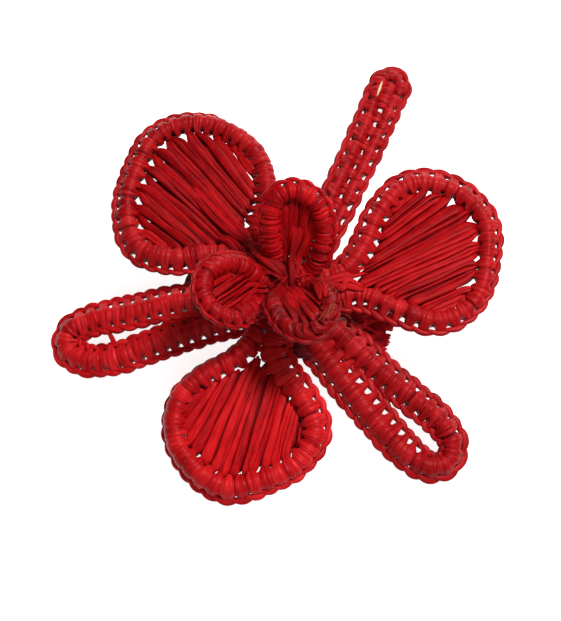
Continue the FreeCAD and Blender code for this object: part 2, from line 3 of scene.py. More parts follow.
import bpy
import numpy as np
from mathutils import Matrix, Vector


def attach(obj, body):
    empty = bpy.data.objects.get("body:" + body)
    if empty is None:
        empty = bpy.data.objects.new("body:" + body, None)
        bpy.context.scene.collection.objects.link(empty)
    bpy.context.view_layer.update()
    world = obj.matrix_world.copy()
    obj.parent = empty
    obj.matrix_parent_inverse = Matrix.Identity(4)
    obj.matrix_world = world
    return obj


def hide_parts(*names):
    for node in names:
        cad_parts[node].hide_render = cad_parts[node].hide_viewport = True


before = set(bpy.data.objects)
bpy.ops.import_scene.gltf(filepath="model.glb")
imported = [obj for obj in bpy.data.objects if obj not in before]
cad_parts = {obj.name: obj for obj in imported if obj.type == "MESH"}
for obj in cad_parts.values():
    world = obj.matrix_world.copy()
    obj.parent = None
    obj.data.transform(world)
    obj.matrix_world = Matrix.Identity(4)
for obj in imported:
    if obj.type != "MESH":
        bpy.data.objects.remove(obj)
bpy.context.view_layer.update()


# ---- Hair clip ---------------------------------------------------
# Two jaws of nickel-plated spring steel strip and a headed steel pin, all of them the CAD
# solids.  Rolled sheet keeps faint lines along its length, and handling leaves smudges.
NICKEL = "#C9C7C2"
PIN_STEEL = "#B9B8B5"
ROLLED_LINE_MM = 0.35
ROLLED_LINE_DEPTH_MM = 0.03
SMUDGES_PER_M = 180.0


def linear(hex_colour):
    """An sRGB hex colour as linear red, green, blue and alpha."""
    channels = [int(hex_colour[i:i + 2], 16) / 255 for i in (1, 3, 5)]
    return [c / 12.92 if c <= 0.04045 else ((c + 0.055) / 1.055) ** 2.4 for c in channels] + [1.0]


def brightened(colour, share):
    """A linear colour at another brightness: darker where share is below 1."""
    return [min(1.0, c * share) for c in colour[:3]] + [1.0]


def add(tree, kind, numbered=None, **named):
    """Adds a node.  Its properties go by name, and its inputs by name or number.  An input
    takes a value, an output, or the first output of another node."""
    node = tree.nodes.new("ShaderNode" + kind)
    for key, value in {**named, **(numbered or {})}.items():
        if key in named and key not in node.inputs and hasattr(node, key):
            setattr(node, key, value)
            continue
        socket = node.inputs[key.replace("_", " ") if key in named else key]
        if isinstance(value, bpy.types.Node):
            value = value.outputs[0]
        if isinstance(value, bpy.types.NodeSocket):
            tree.links.new(value, socket)
        else:
            socket.default_value = value
    return node


def new_material(name):
    material = bpy.data.materials.new(name)
    material.use_nodes = True
    material.node_tree.nodes.clear()
    return material, material.node_tree


def mixed(tree, factor, first, second):
    """The first colour where the factor is 0, and the second where it is 1."""
    return add(tree, "Mix", {0: factor, 6: first, 7: second}, data_type="RGBA").outputs[2]


def two_tones(tree, factor, colour, share):
    """A colour that darkens with the factor, down to that share of its brightness."""
    return mixed(tree, factor, linear(colour), brightened(linear(colour), share))


def coat(tree, colour, relief, depth_mm, strength=0.3, **surface):
    """Ends a material in a surface with this colour, and a relief of that depth."""
    bump = add(tree, "Bump", Height=relief, Strength=strength, Distance=depth_mm / 1000)
    add(tree, "OutputMaterial",
        Surface=add(tree, "BsdfPrincipled", Base_Color=colour, Normal=bump, **surface))


def plated_steel(name, colour, roughness, stretch):
    """Plated or drawn steel: grey metal with fine lines drawn out along the strip or wire."""
    material, tree = new_material(name)
    place = add(tree, "TexCoord").outputs["Object"]
    lines = add(tree, "Mapping", Vector=place, Scale=[1000 / (ROLLED_LINE_MM * s) for s in stretch])
    grain = add(tree, "TexNoise", Vector=lines, Scale=1.0, Detail=3.0)
    smudge = add(tree, "TexNoise", Vector=place, Scale=SMUDGES_PER_M, Detail=2.0)
    dull = add(tree, "MapRange", Value=smudge, To_Min=roughness - 0.06, To_Max=roughness + 0.12)
    coat(tree, two_tones(tree, grain, colour, 0.8), grain, ROLLED_LINE_DEPTH_MM, 0.12,
         Roughness=dull, Metallic=1.0)
    return material


def dress(node, material):
    """Gives a CAD node its material."""
    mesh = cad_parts[node].data
    mesh.materials.clear()
    mesh.materials.append(material)


plated = plated_steel("nickel_plated_spring_steel", NICKEL, 0.22, (40, 1, 1))
dress("clip_upper_jaw", plated)
dress("clip_lower_jaw", plated)
dress("clip_hinge_pin", plated_steel("turned_pin_steel", PIN_STEEL, 0.3, (1, 20, 1)))


# ---- Torsion spring ----------------------------------------------
# Drawn steel wire wound round the pin, with one leg under the upper finger tab and one on
# the lower tab.  The lower leg turns with the lower jaw, and brings a little of the coil
# that it runs into, so that none is missing when the jaws open.
SPRING_WIRE = "#8E8F92"
WIRE_RADIUS_MM = 0.3
LOWER_WIRE_RADIUS_MM = 0.28  # a little less, because it slides inside the coil's first turn
WIRE_SIDES = 16
WIRE_STEP = 0.15  # radians of the coil from one mesh ring to the next
HINGE_X, HINGE_Z = 8.0, 3.0
COIL_RADIUS_MM = 1.2  # to the middle of the wire
COIL_PITCH_MM = 0.75
COIL_START = -1.66  # radians round the pin, where the lower leg joins the coil
COIL_END = -23.32  # where the upper leg leaves it, three and a half turns on
COIL_SET_BACK = 0.06  # how far the coil itself begins behind the lower leg
FLAT_START = 0.65  # the coil's first radians don't climb
HIDDEN_COIL = 0.6  # how much of the coil moves with the lower leg
LEG_MM = 8.8
MM = 0.001
ALONG_PIN = np.array([0.0, 1.0, 0.0])
UP = np.array([0.0, 0.0, 1.0])


def put(name, data):
    """An object in the scene."""
    thing = bpy.data.objects.new(name, data)
    bpy.context.scene.collection.objects.link(thing)
    return thing


def columns(*parts):
    """Coordinates, one to an array; those that are too small are repeated."""
    return np.stack(np.broadcast_arrays(*parts), axis=-1)


def polar(radius, angle, z):
    """Points at a distance and angle round the upright axis."""
    return columns(radius * np.cos(angle), radius * np.sin(angle), z)


def mesh_piece(name, strands, slot, material, *nodes, body="flower"):
    """One object from strands: the rings of points in mm, fibre coordinates and painted crease shade
    of each.
    """
    vertices, faces, fibres, crease_shades, first = [], [], [], [], 0
    for rings, fibre, crease_shade in strands:
        count, around = rings.shape[:2]
        index = first + np.arange(count * around).reshape(count, around)
        after = np.roll(index, -1, axis=1)
        quads = columns(index[:-1], after[:-1], after[1:], index[1:]).reshape(-1, 4)
        faces += quads.tolist() + [index[0][::-1].tolist(), index[-1].tolist()]
        vertices.append(rings.reshape(-1, 3))
        fibres.append(fibre.reshape(-1, 3))
        crease_shades.append(np.broadcast_to(crease_shade, rings.shape[:2]).reshape(-1))
        first += count * around
    mesh = bpy.data.meshes.new(name)
    mesh.from_pydata((np.vstack(vertices) * MM).tolist(), [], faces)
    mesh.polygons.foreach_set("use_smooth", [True] * len(faces))
    mesh.attributes.new("fibre", "FLOAT_VECTOR", "POINT").data.foreach_set(
        "vector", np.vstack(fibres).astype(np.float32).ravel())
    mesh.attributes.new("crease_shade", "FLOAT", "POINT").data.foreach_set(
        "value", np.concatenate(crease_shades).astype(np.float32))
    mesh.materials.append(material)
    piece = put(name, mesh)
    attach(piece, body)
    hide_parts(*nodes)


def spring_wire(coil, leg, radius):
    """Round wire over a range of the coil's angles, with a straight leg at its first end where
    leg is -1, and at its last where leg is 1."""
    angle = np.linspace(*coil, max(8, int(abs(coil[1] - coil[0]) / WIRE_STEP)))
    climbing = np.maximum(COIL_START - angle - FLAT_START, 0) - (COIL_START - COIL_END) / 2
    radial = columns(np.cos(angle), 0.0, np.sin(angle))
    line = columns(HINGE_X, COIL_PITCH_MM / (2 * pi) * climbing, HINGE_Z) + COIL_RADIUS_MM * radial
    end, place = (-1, len(line)) if leg > 0 else (0, 0)
    tip = line[end] + leg * LEG_MM * np.cross(ALONG_PIN, radial[end])
    line, radial = np.insert(line, place, tip, 0), np.insert(radial, place, radial[end], 0)
    turn = np.linspace(0, -2 * pi, WIRE_SIDES, endpoint=False)[None, :, None]
    rings = line[:, None] + radius * (np.cos(turn) * radial[:, None] + np.sin(turn) * ALONG_PIN)
    return rings, np.zeros_like(rings), 0.0


spring_steel = plated_steel("drawn_spring_wire", SPRING_WIRE, 0.34, (6, 6, 1))
mesh_piece("spring_coil", [spring_wire((COIL_START - COIL_SET_BACK, COIL_END), 1, WIRE_RADIUS_MM)],
           "spring_wire", spring_steel, "clip_torsion_spring")
mesh_piece("spring_lower_leg",
           [spring_wire((COIL_START, COIL_START - HIDDEN_COIL), -1, LOWER_WIRE_RADIUS_MM)],
           "spring_wire", spring_steel, "clip_torsion_spring", body="lower_jaw")


# ---- Glue --------------------------------------------------------
# A thin bed of hot-melt glue that holds the backing on the upper jaw.  It sets cloudy,
# with a skin that ripples a little.
GLUE = "#D9D3C2"
GLUE_RIPPLE_MM = 1.2
GLUE_RIPPLE_DEPTH_MM = 0.2


def mottled(name, colour, share, patch_mm, detail, depth_mm, roughness):
    """A coat that darkens in small patches and rises and falls with them."""
    material, tree = new_material(name)
    patches = add(tree, "TexNoise", Vector=add(tree, "TexCoord").outputs["Object"],
                  Scale=1000 / patch_mm, Detail=detail)
    coat(tree, two_tones(tree, patches, colour, share), patches, depth_mm, Roughness=roughness)
    return material


dress("glue_layer", mottled("set_hot_melt_glue", GLUE, 0.82, GLUE_RIPPLE_MM, 2.0,
                            GLUE_RIPPLE_DEPTH_MM, 0.28))


# ---- Core wire ---------------------------------------------------
# Soft florist wire with a lacquered paper cover, bent once round each petal.  It is
# hidden in the wrapped bands except where it enters the knot.
WIRE_COVER = "#5B5D48"
PAPER_FIBRE_MM = 0.4
PAPER_DEPTH_MM = 0.05

cover = mottled("paper_covered_wire", WIRE_COVER, 0.6, PAPER_FIBRE_MM, 3.0, PAPER_DEPTH_MM, 0.6)
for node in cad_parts:
    if node.endswith("_wire"):
        dress(node, cover)


# ---- Round petals ------------------------------------------------
# Each is a loop of core wire covered with crochet stitches in dyed raffia, with a chain
# along the outer edge.  Raffia strips are laced across the loop from neck to tip, close
# together, and caught in the stitches at both ends.
PETAL_Z = 15.0


def grouped(shared, petals):
    """Petals by name, with the values that they share filled in."""
    return {name: {**shared, **own} for name, own in petals.items()}


# In mm and degrees: a petal's sheet leaves the knot at start and height, tilted by lift,
# bends to droop over its reach, and curls across by cup.  On that sheet, outline is the
# middle of the rim band, and band is its radius.  Its stitches are as long as stitch, stand
# out by stand to the chain and by inner_stand to the inside, are fuller by wrap, draw in by
# pinch beside the chain, and lean by slant.  The chain's strands are as wide as chain, and
# roll turns them out of the sheet's plane.  Measures with several values go from the rim's
# first end to its last.  The strips' slopes at the right, middle and left are in lean; they
# stop short of the band on one side, ladder, and the lower ones do by tip_gap at the tip.
# A neck shade darkens the wraps towards the knot: painted shade where the cups' shadow falls.
# The brightness factor of each petal is partly its dye lot and partly painted light and shade.
ROUND_PETALS = grouped({"start": 6, "height": PETAL_Z}, {
    "upper_left_petal": dict(
        azimuth=147, lift=4, droop=-8, reach=38, cup=-0.002,
        band=1.85, stitch=2.35, chain=1.1, plump=0.9, dye_and_light=0.69,
        roll=(0, 0, 0, 0, 6, -14, -90, -100, -105), inner_stand=(0.35, 0.35, 0.9),
        stand=(0.8, 1.2, 1, 0.45, 0.5, 0.6, -0.4, -0.4, -0.4),
        wrap=(0.12, 0.12, 0.1, 0, 0, 0.1, 0.1, 0.05, 0),
        pinch=(0.1, 0.1, 0, 0.6, 0.95, 0.9, 0, 0, 0),
        strips=15, lean=(-0.18, 0.02, 0.2), ladder=-1, tip_gap=2.3, tip_thin=2.6, paired=0.34,
        outline=[(0, 2.1), (8.5, 2.6), (12, 6.1), (16.4, 12.2), (22.7, 15.5), (31, 12),
                 (36.5, 4.6), (39.5, -3.5), (36.6, -10.9), (29.6, -15.1), (20.4, -15.2),
                 (13.3, -10.3), (8.5, -3.8), (0, -2.1)]),
    "right_petal": dict(
        azimuth=34, lift=4, droop=-4, reach=36, cup=0,
        band=1.65, stitch=2.8, chain=1.15, plump=0.85, dye_and_light=0.76,
        roll=(-20, 0, 0), inner_stand=(0.9, 0.35, 0.35), wrap=(-0.05, 0.1, 0.1),
        stand=(0.95, 1, 1.1, 0.85, 0.2, 1.2, 1.3), pinch=(0.5, 0.35, 0.1, 0.1, 0.3, 0.9, 0.6),
        strips=14, lean=(0.1, 0.14, 0.5), ladder=1, tip_gap=1.8, tip_thin=2.2, paired=0.3,
        outline=[(0, 2.1), (6.5, 2.4), (11, 5.4), (17, 11.7), (24.5, 15.2), (32.2, 11.7),
                 (36.3, 3.9), (33.8, -4.9), (27.8, -13), (20.2, -14.4), (13, -9.1), (7.5, -4.3),
                 (0, -2.1)]),
    "lower_petal": dict(
        azimuth=265, lift=2, droop=-18, reach=36, cup=-0.003,
        band=1.85, stitch=2.65, chain=1.35, plump=0.85, dye_and_light=1, painted_neck_shade=0.5,
        roll=(0, 0, -60), inner_stand=(0.35, 0.35, 0.9), wrap=(0.3, 0.3, 0.1),
        stand=(1.2, 1.2, 0.3, 0.75, 0.15, 0.8, 0.3), pinch=(0.2, 0.1, 0.1, 0, 0),
        strips=14, lean=(-0.3, 0.03, 0.12), ladder=-1, tip_gap=0.9, tip_thin=1.7, paired=0.08,
        outline=[(0, -0.6), (5, -0.1), (9.5, 3.6), (13.2, 9.1), (18.5, 13.6), (25, 12.6),
                 (30.8, 7.1), (34.6, 0.3), (33, -6.6), (28.4, -12.1), (21.5, -13.8), (14.5, -10.6),
                 (9.5, -6.4), (5, -4.6), (0, -4.8)]),
})
RING_STEP_MM, RING_POINTS = 0.13, 44  # the mesh rings along a band
WRAP_PLUMP_MM = 0.52  # how far a wrap stands out between its two creases
WRAP_LEVEL = 0.72  # share of that which lies under the band's mean surface
WRAP_FOLD_MM = 0.04  # depth of the folds along a wrap
CREASE_MM = 0.36  # how far the core lies below the wraps' mean surface
USUAL_STITCH_MM = 2.15
PEG_MM = 0.68  # half width of a usual stitch where it joins the chain
PEG_SPREAD = 0.42  # radians of the band's girth that a stitch's end covers
PINCH_SPREAD = 0.8  # and over which the band draws in between stitches
PINCH_INSIDE_MM = 0.35  # how far it draws in on its inside
FULL_STAND_MM = 0.4  # a stitch that stands out this far inside is drawn together
USUAL_SLANT_MM = 0.16  # how far a stitch leans along the band, over its quarter turn
LEG_REACH_MM = 1.2  # how far a leg may sway beyond its own width
PAINTED_NECK_SHADE_MM = 4.2  # how far the painted shade at a neck goes up the petal's arms, under the cups' shadow
CHAIN_ENDS_MM = 4.0  # length of rim, at its ends in the knot, that has no chain

WIDEST_AT = 0.62  # share of a petal's length
STRIP_STEP_MM = 0.15
KNOT_END_MM = 2.5  # strips end this far along the petal at the latest
LADDER_MM = 1.9  # opening between the strips and the band, in the middle
THIN_MM = 1.7  # length over which a strip's end thins
PAIRED_OVER_MM = 3.2  # length over which strips draw together in twos at the tip
TURNED_DOWN_MM = 0.9  # how far a strip's end goes down under the band

RAFFIA = "#B81116"
RAFFIA_SUNLIT = "#D0262A"
RAFFIA_SHADE = "#84060C"
# Painted shade: the colour that creases between wraps, strand edges and shaded strands darken to.
CREASE_SHADE = "#40050A"
CORE_GLIMPSE = "#2C1A10"  # lacquered wire cover, seen deep where the wraps part, in painted shade
WRAP_COLOURS = (RAFFIA_SHADE, RAFFIA, RAFFIA_SUNLIT)
STRIP_COLOURS = ("#7A040A", "#B20A10", "#D0181B")
FIBRE_MM = 0.28  # width of a raffia fibre
FIBRE_LENGTH_MM = 3.5
FIBRE_DEPTH_MM = 0.06
OWN_SHADE = 0.42  # how much one strand differs from the next
GLIMPSES_PER_M = 140.0


def dyed_raffia(name, colours, roughness=0.4, glimpse=CREASE_SHADE, dye_and_light=1.0, sheen=0.0):
    """Dyed palm leaf strip: fine fibres along it, each strip a little lighter or darker than
    the next, and a waxy surface.  Where the crease value rises it darkens to painted shade,
    with the wire cover, also in painted shade, in patches there.  The brightness factor is
    partly the bundle's dye lot and partly painted light and shade, set petal by petal."""
    dark, middle, light = [brightened(linear(c), dye_and_light) for c in colours]
    material, tree = new_material(name)
    strand = add(tree, "Attribute", attribute_name="fibre").outputs["Vector"]
    crease_shade = add(tree, "Attribute", attribute_name="crease_shade").outputs["Fac"]
    fine, broad = (add(tree, "Mapping", Vector=strand, Scale=scale)
                   for scale in ((1 / FIBRE_LENGTH_MM, 1 / FIBRE_MM, 7.0), (0.25, 1.1, 3.0)))
    fibres = add(tree, "TexNoise", Vector=fine, Scale=1.0, Detail=3.0, Roughness=0.65)
    patches = add(tree, "TexNoise", Vector=broad, Scale=1.0, Detail=2.0)
    own = add(tree, "TexWhiteNoise", noise_dimensions="1D",
              W=add(tree, "SeparateXYZ", Vector=strand).outputs["Z"])
    both = add(tree, "Math", {0: fibres, 1: patches}, operation="ADD")
    spread = add(tree, "Math", {0: own, 1: OWN_SHADE}, operation="MULTIPLY")
    total = add(tree, "Math", {0: both, 1: spread}, operation="ADD")
    ramp = add(tree, "ValToRGB", Fac=add(tree, "MapRange", Value=total, From_Min=0.82, From_Max=1.62))
    ramp.color_ramp.elements[0].color = dark
    ramp.color_ramp.elements[1].color = light
    ramp.color_ramp.elements.new(0.5).color = middle
    wide = add(tree, "TexNoise", Vector=add(tree, "TexCoord").outputs["Object"],
               Scale=GLIMPSES_PER_M)
    shows = add(tree, "MapRange", Value=wide, From_Min=0.56, From_Max=0.66)
    # In the creases the colour goes to painted shade, or in patches to the wire cover in painted
    # shade.
    gap = mixed(tree, shows, linear(CREASE_SHADE), linear(glimpse))
    coat(tree, mixed(tree, crease_shade, ramp, gap), fibres, FIBRE_DEPTH_MM, Roughness=roughness,
         Sheen_Weight=sheen, Sheen_Roughness=0.3, Sheen_Tint=(1.0, 0.5, 0.55, 1.0),
         Specular_Tint=(1.0, 0.42, 0.44, 1.0), Specular_IOR_Level=0.16)
    return material


def on_sheet(petal, s, v):
    """Points of a petal's curved sheet, at s along its middle line and v to the left of it."""
    lift = radians(petal["lift"])
    bend = (radians(petal["droop"]) - lift) / petal["reach"]
    angle = lift + bend * s
    out = petal["start"] + (np.sin(angle) - sin(lift)) / bend
    up = petal["height"] - (np.cos(angle) - cos(lift)) / bend
    azimuth = radians(petal["azimuth"])
    outward = np.array([cos(azimuth), sin(azimuth), 0.0])
    sideways = np.array([-sin(azimuth), cos(azimuth), 0.0])
    normal = np.outer(-np.sin(angle), outward) + np.outer(np.cos(angle), UP)
    middle = np.outer(out, outward) + np.outer(up, UP) + np.outer(v, sideways)
    return middle + normal * (petal["cup"] * v ** 2)[:, None]


def unit(vectors):
    return vectors / np.maximum(np.linalg.norm(vectors, axis=-1, keepdims=True), 1e-12)


def sheet_normal(petal, s, v):
    step = 0.01
    along = on_sheet(petal, s + step, v) - on_sheet(petal, s - step, v)
    across = on_sheet(petal, s, v + step) - on_sheet(petal, s, v - step)
    return unit(np.cross(along, across))


def smooth_path(points, per_span=24):
    """A smooth line through the points, bending as the circle through each three does."""
    points = np.array(points, float)
    before, after = np.diff(points, axis=0)[:-1], np.diff(points, axis=0)[1:]
    near, far = (np.linalg.norm(v, axis=1, keepdims=True) for v in (before, after))
    inner = unit(before * far / near + after * near / far)
    directions = np.vstack([unit(points[1] - points[0]), inner, unit(points[-1] - points[-2])])
    line = []
    for i in range(len(points) - 1):
        t = np.linspace(0, 1, per_span, endpoint=i == len(points) - 2)[:, None]
        length = np.linalg.norm(points[i + 1] - points[i])
        line.append((2 * t ** 3 - 3 * t ** 2 + 1) * points[i]
                    + (t ** 3 - 2 * t ** 2 + t) * directions[i] * length
                    + (3 * t ** 2 - 2 * t ** 3) * points[i + 1]
                    + (t ** 3 - t ** 2) * directions[i + 1] * length)
    return np.vstack(line)


def frames_along(points, normals):
    """Unit direction, outward and normal at each point of a line."""
    direction = unit(np.gradient(points, axis=0))
    outward = unit(np.cross(normals, direction))
    return direction, outward, np.cross(direction, outward)


def distance_along(line):
    return np.concatenate([[0], np.cumsum(np.linalg.norm(np.diff(line, axis=0), axis=1))])


def rim_line(petal):
    """The middle of the rim band at even steps: distance, point, direction, outward, normal."""
    flat = smooth_path(petal["outline"])
    solid = on_sheet(petal, flat[:, 0], flat[:, 1])
    run = distance_along(solid)
    u = np.linspace(0, run[-1], int(run[-1] / RING_STEP_MM) + 1)
    s, v = np.interp(u, run, flat[:, 0]), np.interp(u, run, flat[:, 1])
    points = on_sheet(petal, s, v)
    return (u, points) + frames_along(points, sheet_normal(petal, s, v))


def arch(t):
    """Rises from 0 to 1 and falls back, as t goes from 0 to 1."""
    return np.sin(pi * t)


def along_rim(rim, values):
    """A measure given at even steps from a rim's first end to its last, ring by ring."""
    return np.interp(rim[0] / rim[0][-1], np.linspace(0, 1, len(values)), values)[:, None]


def wound_band(rim, petal, seed):
    """Crochet over the core wire: one or two plump legs to a stitch, drawn together where
    they join the edge chain, with a hole between stitches there."""
    u, points, _, outward, normal = rim
    stitch = petal["stitch"]
    wrap, inner = along_rim(rim, petal["wrap"]), along_rim(rim, petal["inner_stand"])
    rng = np.random.default_rng(seed)
    around = np.linspace(-pi, pi, RING_POINTS, endpoint=False)
    from_chain = (around - np.radians(along_rim(rim, petal["roll"])) + pi) % (2 * pi) - pi
    at_chain = np.exp(-(from_chain / PEG_SPREAD) ** 2)
    beside_chain = np.exp(-(from_chain / PINCH_SPREAD) ** 2)
    at_inside = np.exp(-((np.abs(around) - pi) / PEG_SPREAD) ** 2)
    to_chain = along_rim(rim, petal["stand"]) - wrap
    drawn = np.maximum(at_chain, at_inside * np.minimum(1.0, inner / FULL_STAND_MM))
    height = np.full((len(u), RING_POINTS), -CREASE_MM)
    fibre_across, fibre_id, pegs = np.zeros_like(height), np.zeros_like(height), np.zeros_like(u)
    sway = 0.0
    for number in range(-1, int(u[-1] / stitch) + 2):
        centre = (number + 0.5) * stitch + rng.normal(0, 0.06)
        size = rng.normal(0.0, 0.06)
        sway = 0.7 * sway + rng.normal(0, 0.13)
        wide = PEG_MM * stitch / USUAL_STITCH_MM * rng.uniform(0.9, 1.25)
        pegs = np.maximum(pegs, np.exp(-((u - centre) / wide) ** 6))
        legs = [(0.0, 1.0)]
        if rng.random() < 0.28 * stitch - 0.15:  # a long stitch more often has two
            split = rng.uniform(0.3, 0.7)
            legs = [(0.0, split), (split, 1.0)]
        for leg, (low, high) in enumerate(legs):
            middle = centre + stitch * ((low + high) / 2 - 0.5)
            half = stitch * (high - low) / 2 * rng.uniform(1.06, 1.24)
            lean = petal.get("slant", USUAL_SLANT_MM) + sway + rng.normal(0, 0.07)
            level = size + rng.normal(0.0, 0.04)
            folds, phase = rng.integers(2, 5), rng.uniform(0, 6.28)
            near = np.where(abs(u - middle) < half + LEG_REACH_MM)[0]
            pull = drawn[near] * 0.6
            place = middle + (centre - middle) * pull + lean * np.sin(around)
            across = (u[near, None] - place) / (half * (1 - 0.25 * drawn[near]))
            crown = np.sqrt(np.clip(1 - abs(across) ** 2.7, 0, 1))
            raised = level + WRAP_PLUMP_MM * petal.get("plump", 1.0) * (crown - WRAP_LEVEL)
            raised = raised + WRAP_FOLD_MM * np.cos(folds * pi * across + phase)
            raised = np.where(abs(across) < 1, raised, -9)
            over = raised > height[near]
            for kept, value in ((height, raised), (fibre_across, across * half),
                                (fibre_id, number * 2 + leg + seed * 1000)):
                kept[near] = np.where(over, value, kept[near])
    # Painted shade: the wraps darken in the creases between them, the lower the surface the darker,
    # and on some petals towards the necks, where the cups' shadow falls.
    crease_shade = np.clip((0.0 - height) / CREASE_MM, 0, 1) ** 1.3
    from_end = np.minimum(u, u[-1] - u)
    painted_shade = petal.get("painted_neck_shade", 0) * np.exp(-(from_end / PAINTED_NECK_SHADE_MM) ** 2)
    crease_shade = np.maximum(crease_shade, painted_shade[:, None])
    pinch = along_rim(rim, petal.get("pinch", (0.0,)))
    stands = (to_chain * at_chain + inner * at_inside) * pegs[:, None]
    draws_in = (pinch * beside_chain + PINCH_INSIDE_MM * at_inside) * (1 - pegs[:, None])
    reach = petal["band"] + wrap + height + stands - draws_in
    rings = points[:, None] + reach[..., None] * (np.cos(around)[:, None] * outward[:, None]
                                                  + np.sin(around)[:, None] * normal[:, None])
    return rings, columns(around * petal["band"], fibre_across, fibre_id), crease_shade


def soft_strand(points, normals, width, thickness, strand_id, folds=2, around=14, painted_shade=0.0):
    """A soft raffia strand along a line: flattened, with folds along it.  Painted shade darkens
    its edges, and the whole of it by its share of painted shade.  Its width, thickness and
    shade go for the whole strand or point by point."""
    width, thickness, painted_shade = (np.broadcast_to(v, (len(points),)) for v in (width, thickness, painted_shade))
    _, sideways, up = frames_along(points, normals)
    turn = np.linspace(0, 2 * pi, around, endpoint=False)
    across, above = (np.sign(side) * np.abs(side) ** 0.8 for side in (np.cos(turn), np.sin(turn)))
    above = above * (1 + 0.14 * np.cos(folds * pi * across + strand_id))
    rings = (points[:, None] + across[:, None] * sideways[:, None] * (width / 2)[:, None, None]
             + above[:, None] * up[:, None] * (thickness / 2)[:, None, None])
    fibre = columns(distance_along(points)[:, None], across * 0.5 * width[:, None], float(strand_id))
    crease_shade = painted_shade[:, None] + (1 - painted_shade[:, None]) * 0.2 * np.abs(across) ** 8
    return rings, fibre, crease_shade


def sheet_strand(petal, s, v, above, width, thickness, strand_id, **kind):
    """A soft strand that follows a petal's sheet, so far above it."""
    up = sheet_normal(petal, s, v)
    points = on_sheet(petal, s, v) + up * np.broadcast_to(above, s.shape)[:, None]
    return soft_strand(points, up, width, thickness, strand_id, **kind)


def edge_chain(rim, band, stand, roll, seed, stitch, size=1.0, inside=False, wobble=0.04):
    """Crochet chain along a band: leaf-shaped strands, each end tucked under the next."""
    u, points, _, outward, normal = rim
    rng = np.random.default_rng(seed)
    angle = np.radians(along_rim(rim, roll))
    way = -1 if inside else 1
    side = (outward * np.cos(angle) + normal * np.sin(angle)) * way
    face = normal * np.cos(angle) - outward * np.sin(angle)
    apart = band + along_rim(rim, stand)[:, 0]
    strands = []
    for i in range(int((u[-1] - CHAIN_ENDS_MM) / stitch)):
        t = np.linspace(0, 1, 15)
        place = (i + 1.5) * stitch + (t - 0.5) * (stitch * rng.uniform(1.65, 1.85))
        inset = (np.interp(place, u, apart) - 0.22 * size * np.cos(2 * pi * t)
                 + rng.normal(0, wobble))
        rise = 0.3 * size * (2 * t - 1) * way + rng.normal(0, wobble)
        at, out, up = (columns(*(np.interp(place, u, line[:, k]) for k in range(3)))
                       for line in (points, side, face))
        centre = at + unit(out) * inset[:, None] + unit(up) * rise[:, None]
        width = size * rng.uniform(0.9, 1.12) * (0.4 + 0.68 * arch(t) ** 0.8)
        strands.append(soft_strand(centre, unit(up), width, width * 0.8, seed * 1000 + i))
    return strands


def rim_distance(outline, s, v):
    """Signed distance in from the middle of the rim band, negative outside it."""
    outline = np.array(outline, float)
    a, b = outline[:-1], outline[1:]
    p = np.array([s, v])
    t = np.clip(((p - a) * (b - a)).sum(1) / ((b - a) ** 2).sum(1), 0, 1)
    nearest = np.linalg.norm(a + t[:, None] * (b - a) - p, axis=1).min()
    inside = False
    for (s0, v0), (s1, v1) in zip(outline, np.roll(outline, -1, axis=0)):
        if (v0 > v) != (v1 > v) and s < s0 + (v - v0) * (s1 - s0) / (v1 - v0):
            inside = not inside
    return nearest if inside else -nearest


def strip_end(outline, inset, middle, slope, spread, way):
    """Walk along a strip from the wide middle of the petal until it is in under the rim,
    or near the knot, or where the strips have drawn too close together."""
    end, steps = None, 0
    while True:
        run = way * steps * STRIP_STEP_MM
        s, v = middle[0] + run, middle[1] + slope * run
        if s < KNOT_END_MM or 1 + spread * run < 0.28 or rim_distance(outline, s, v) < inset:
            return end
        end = (s, v)
        steps += 1


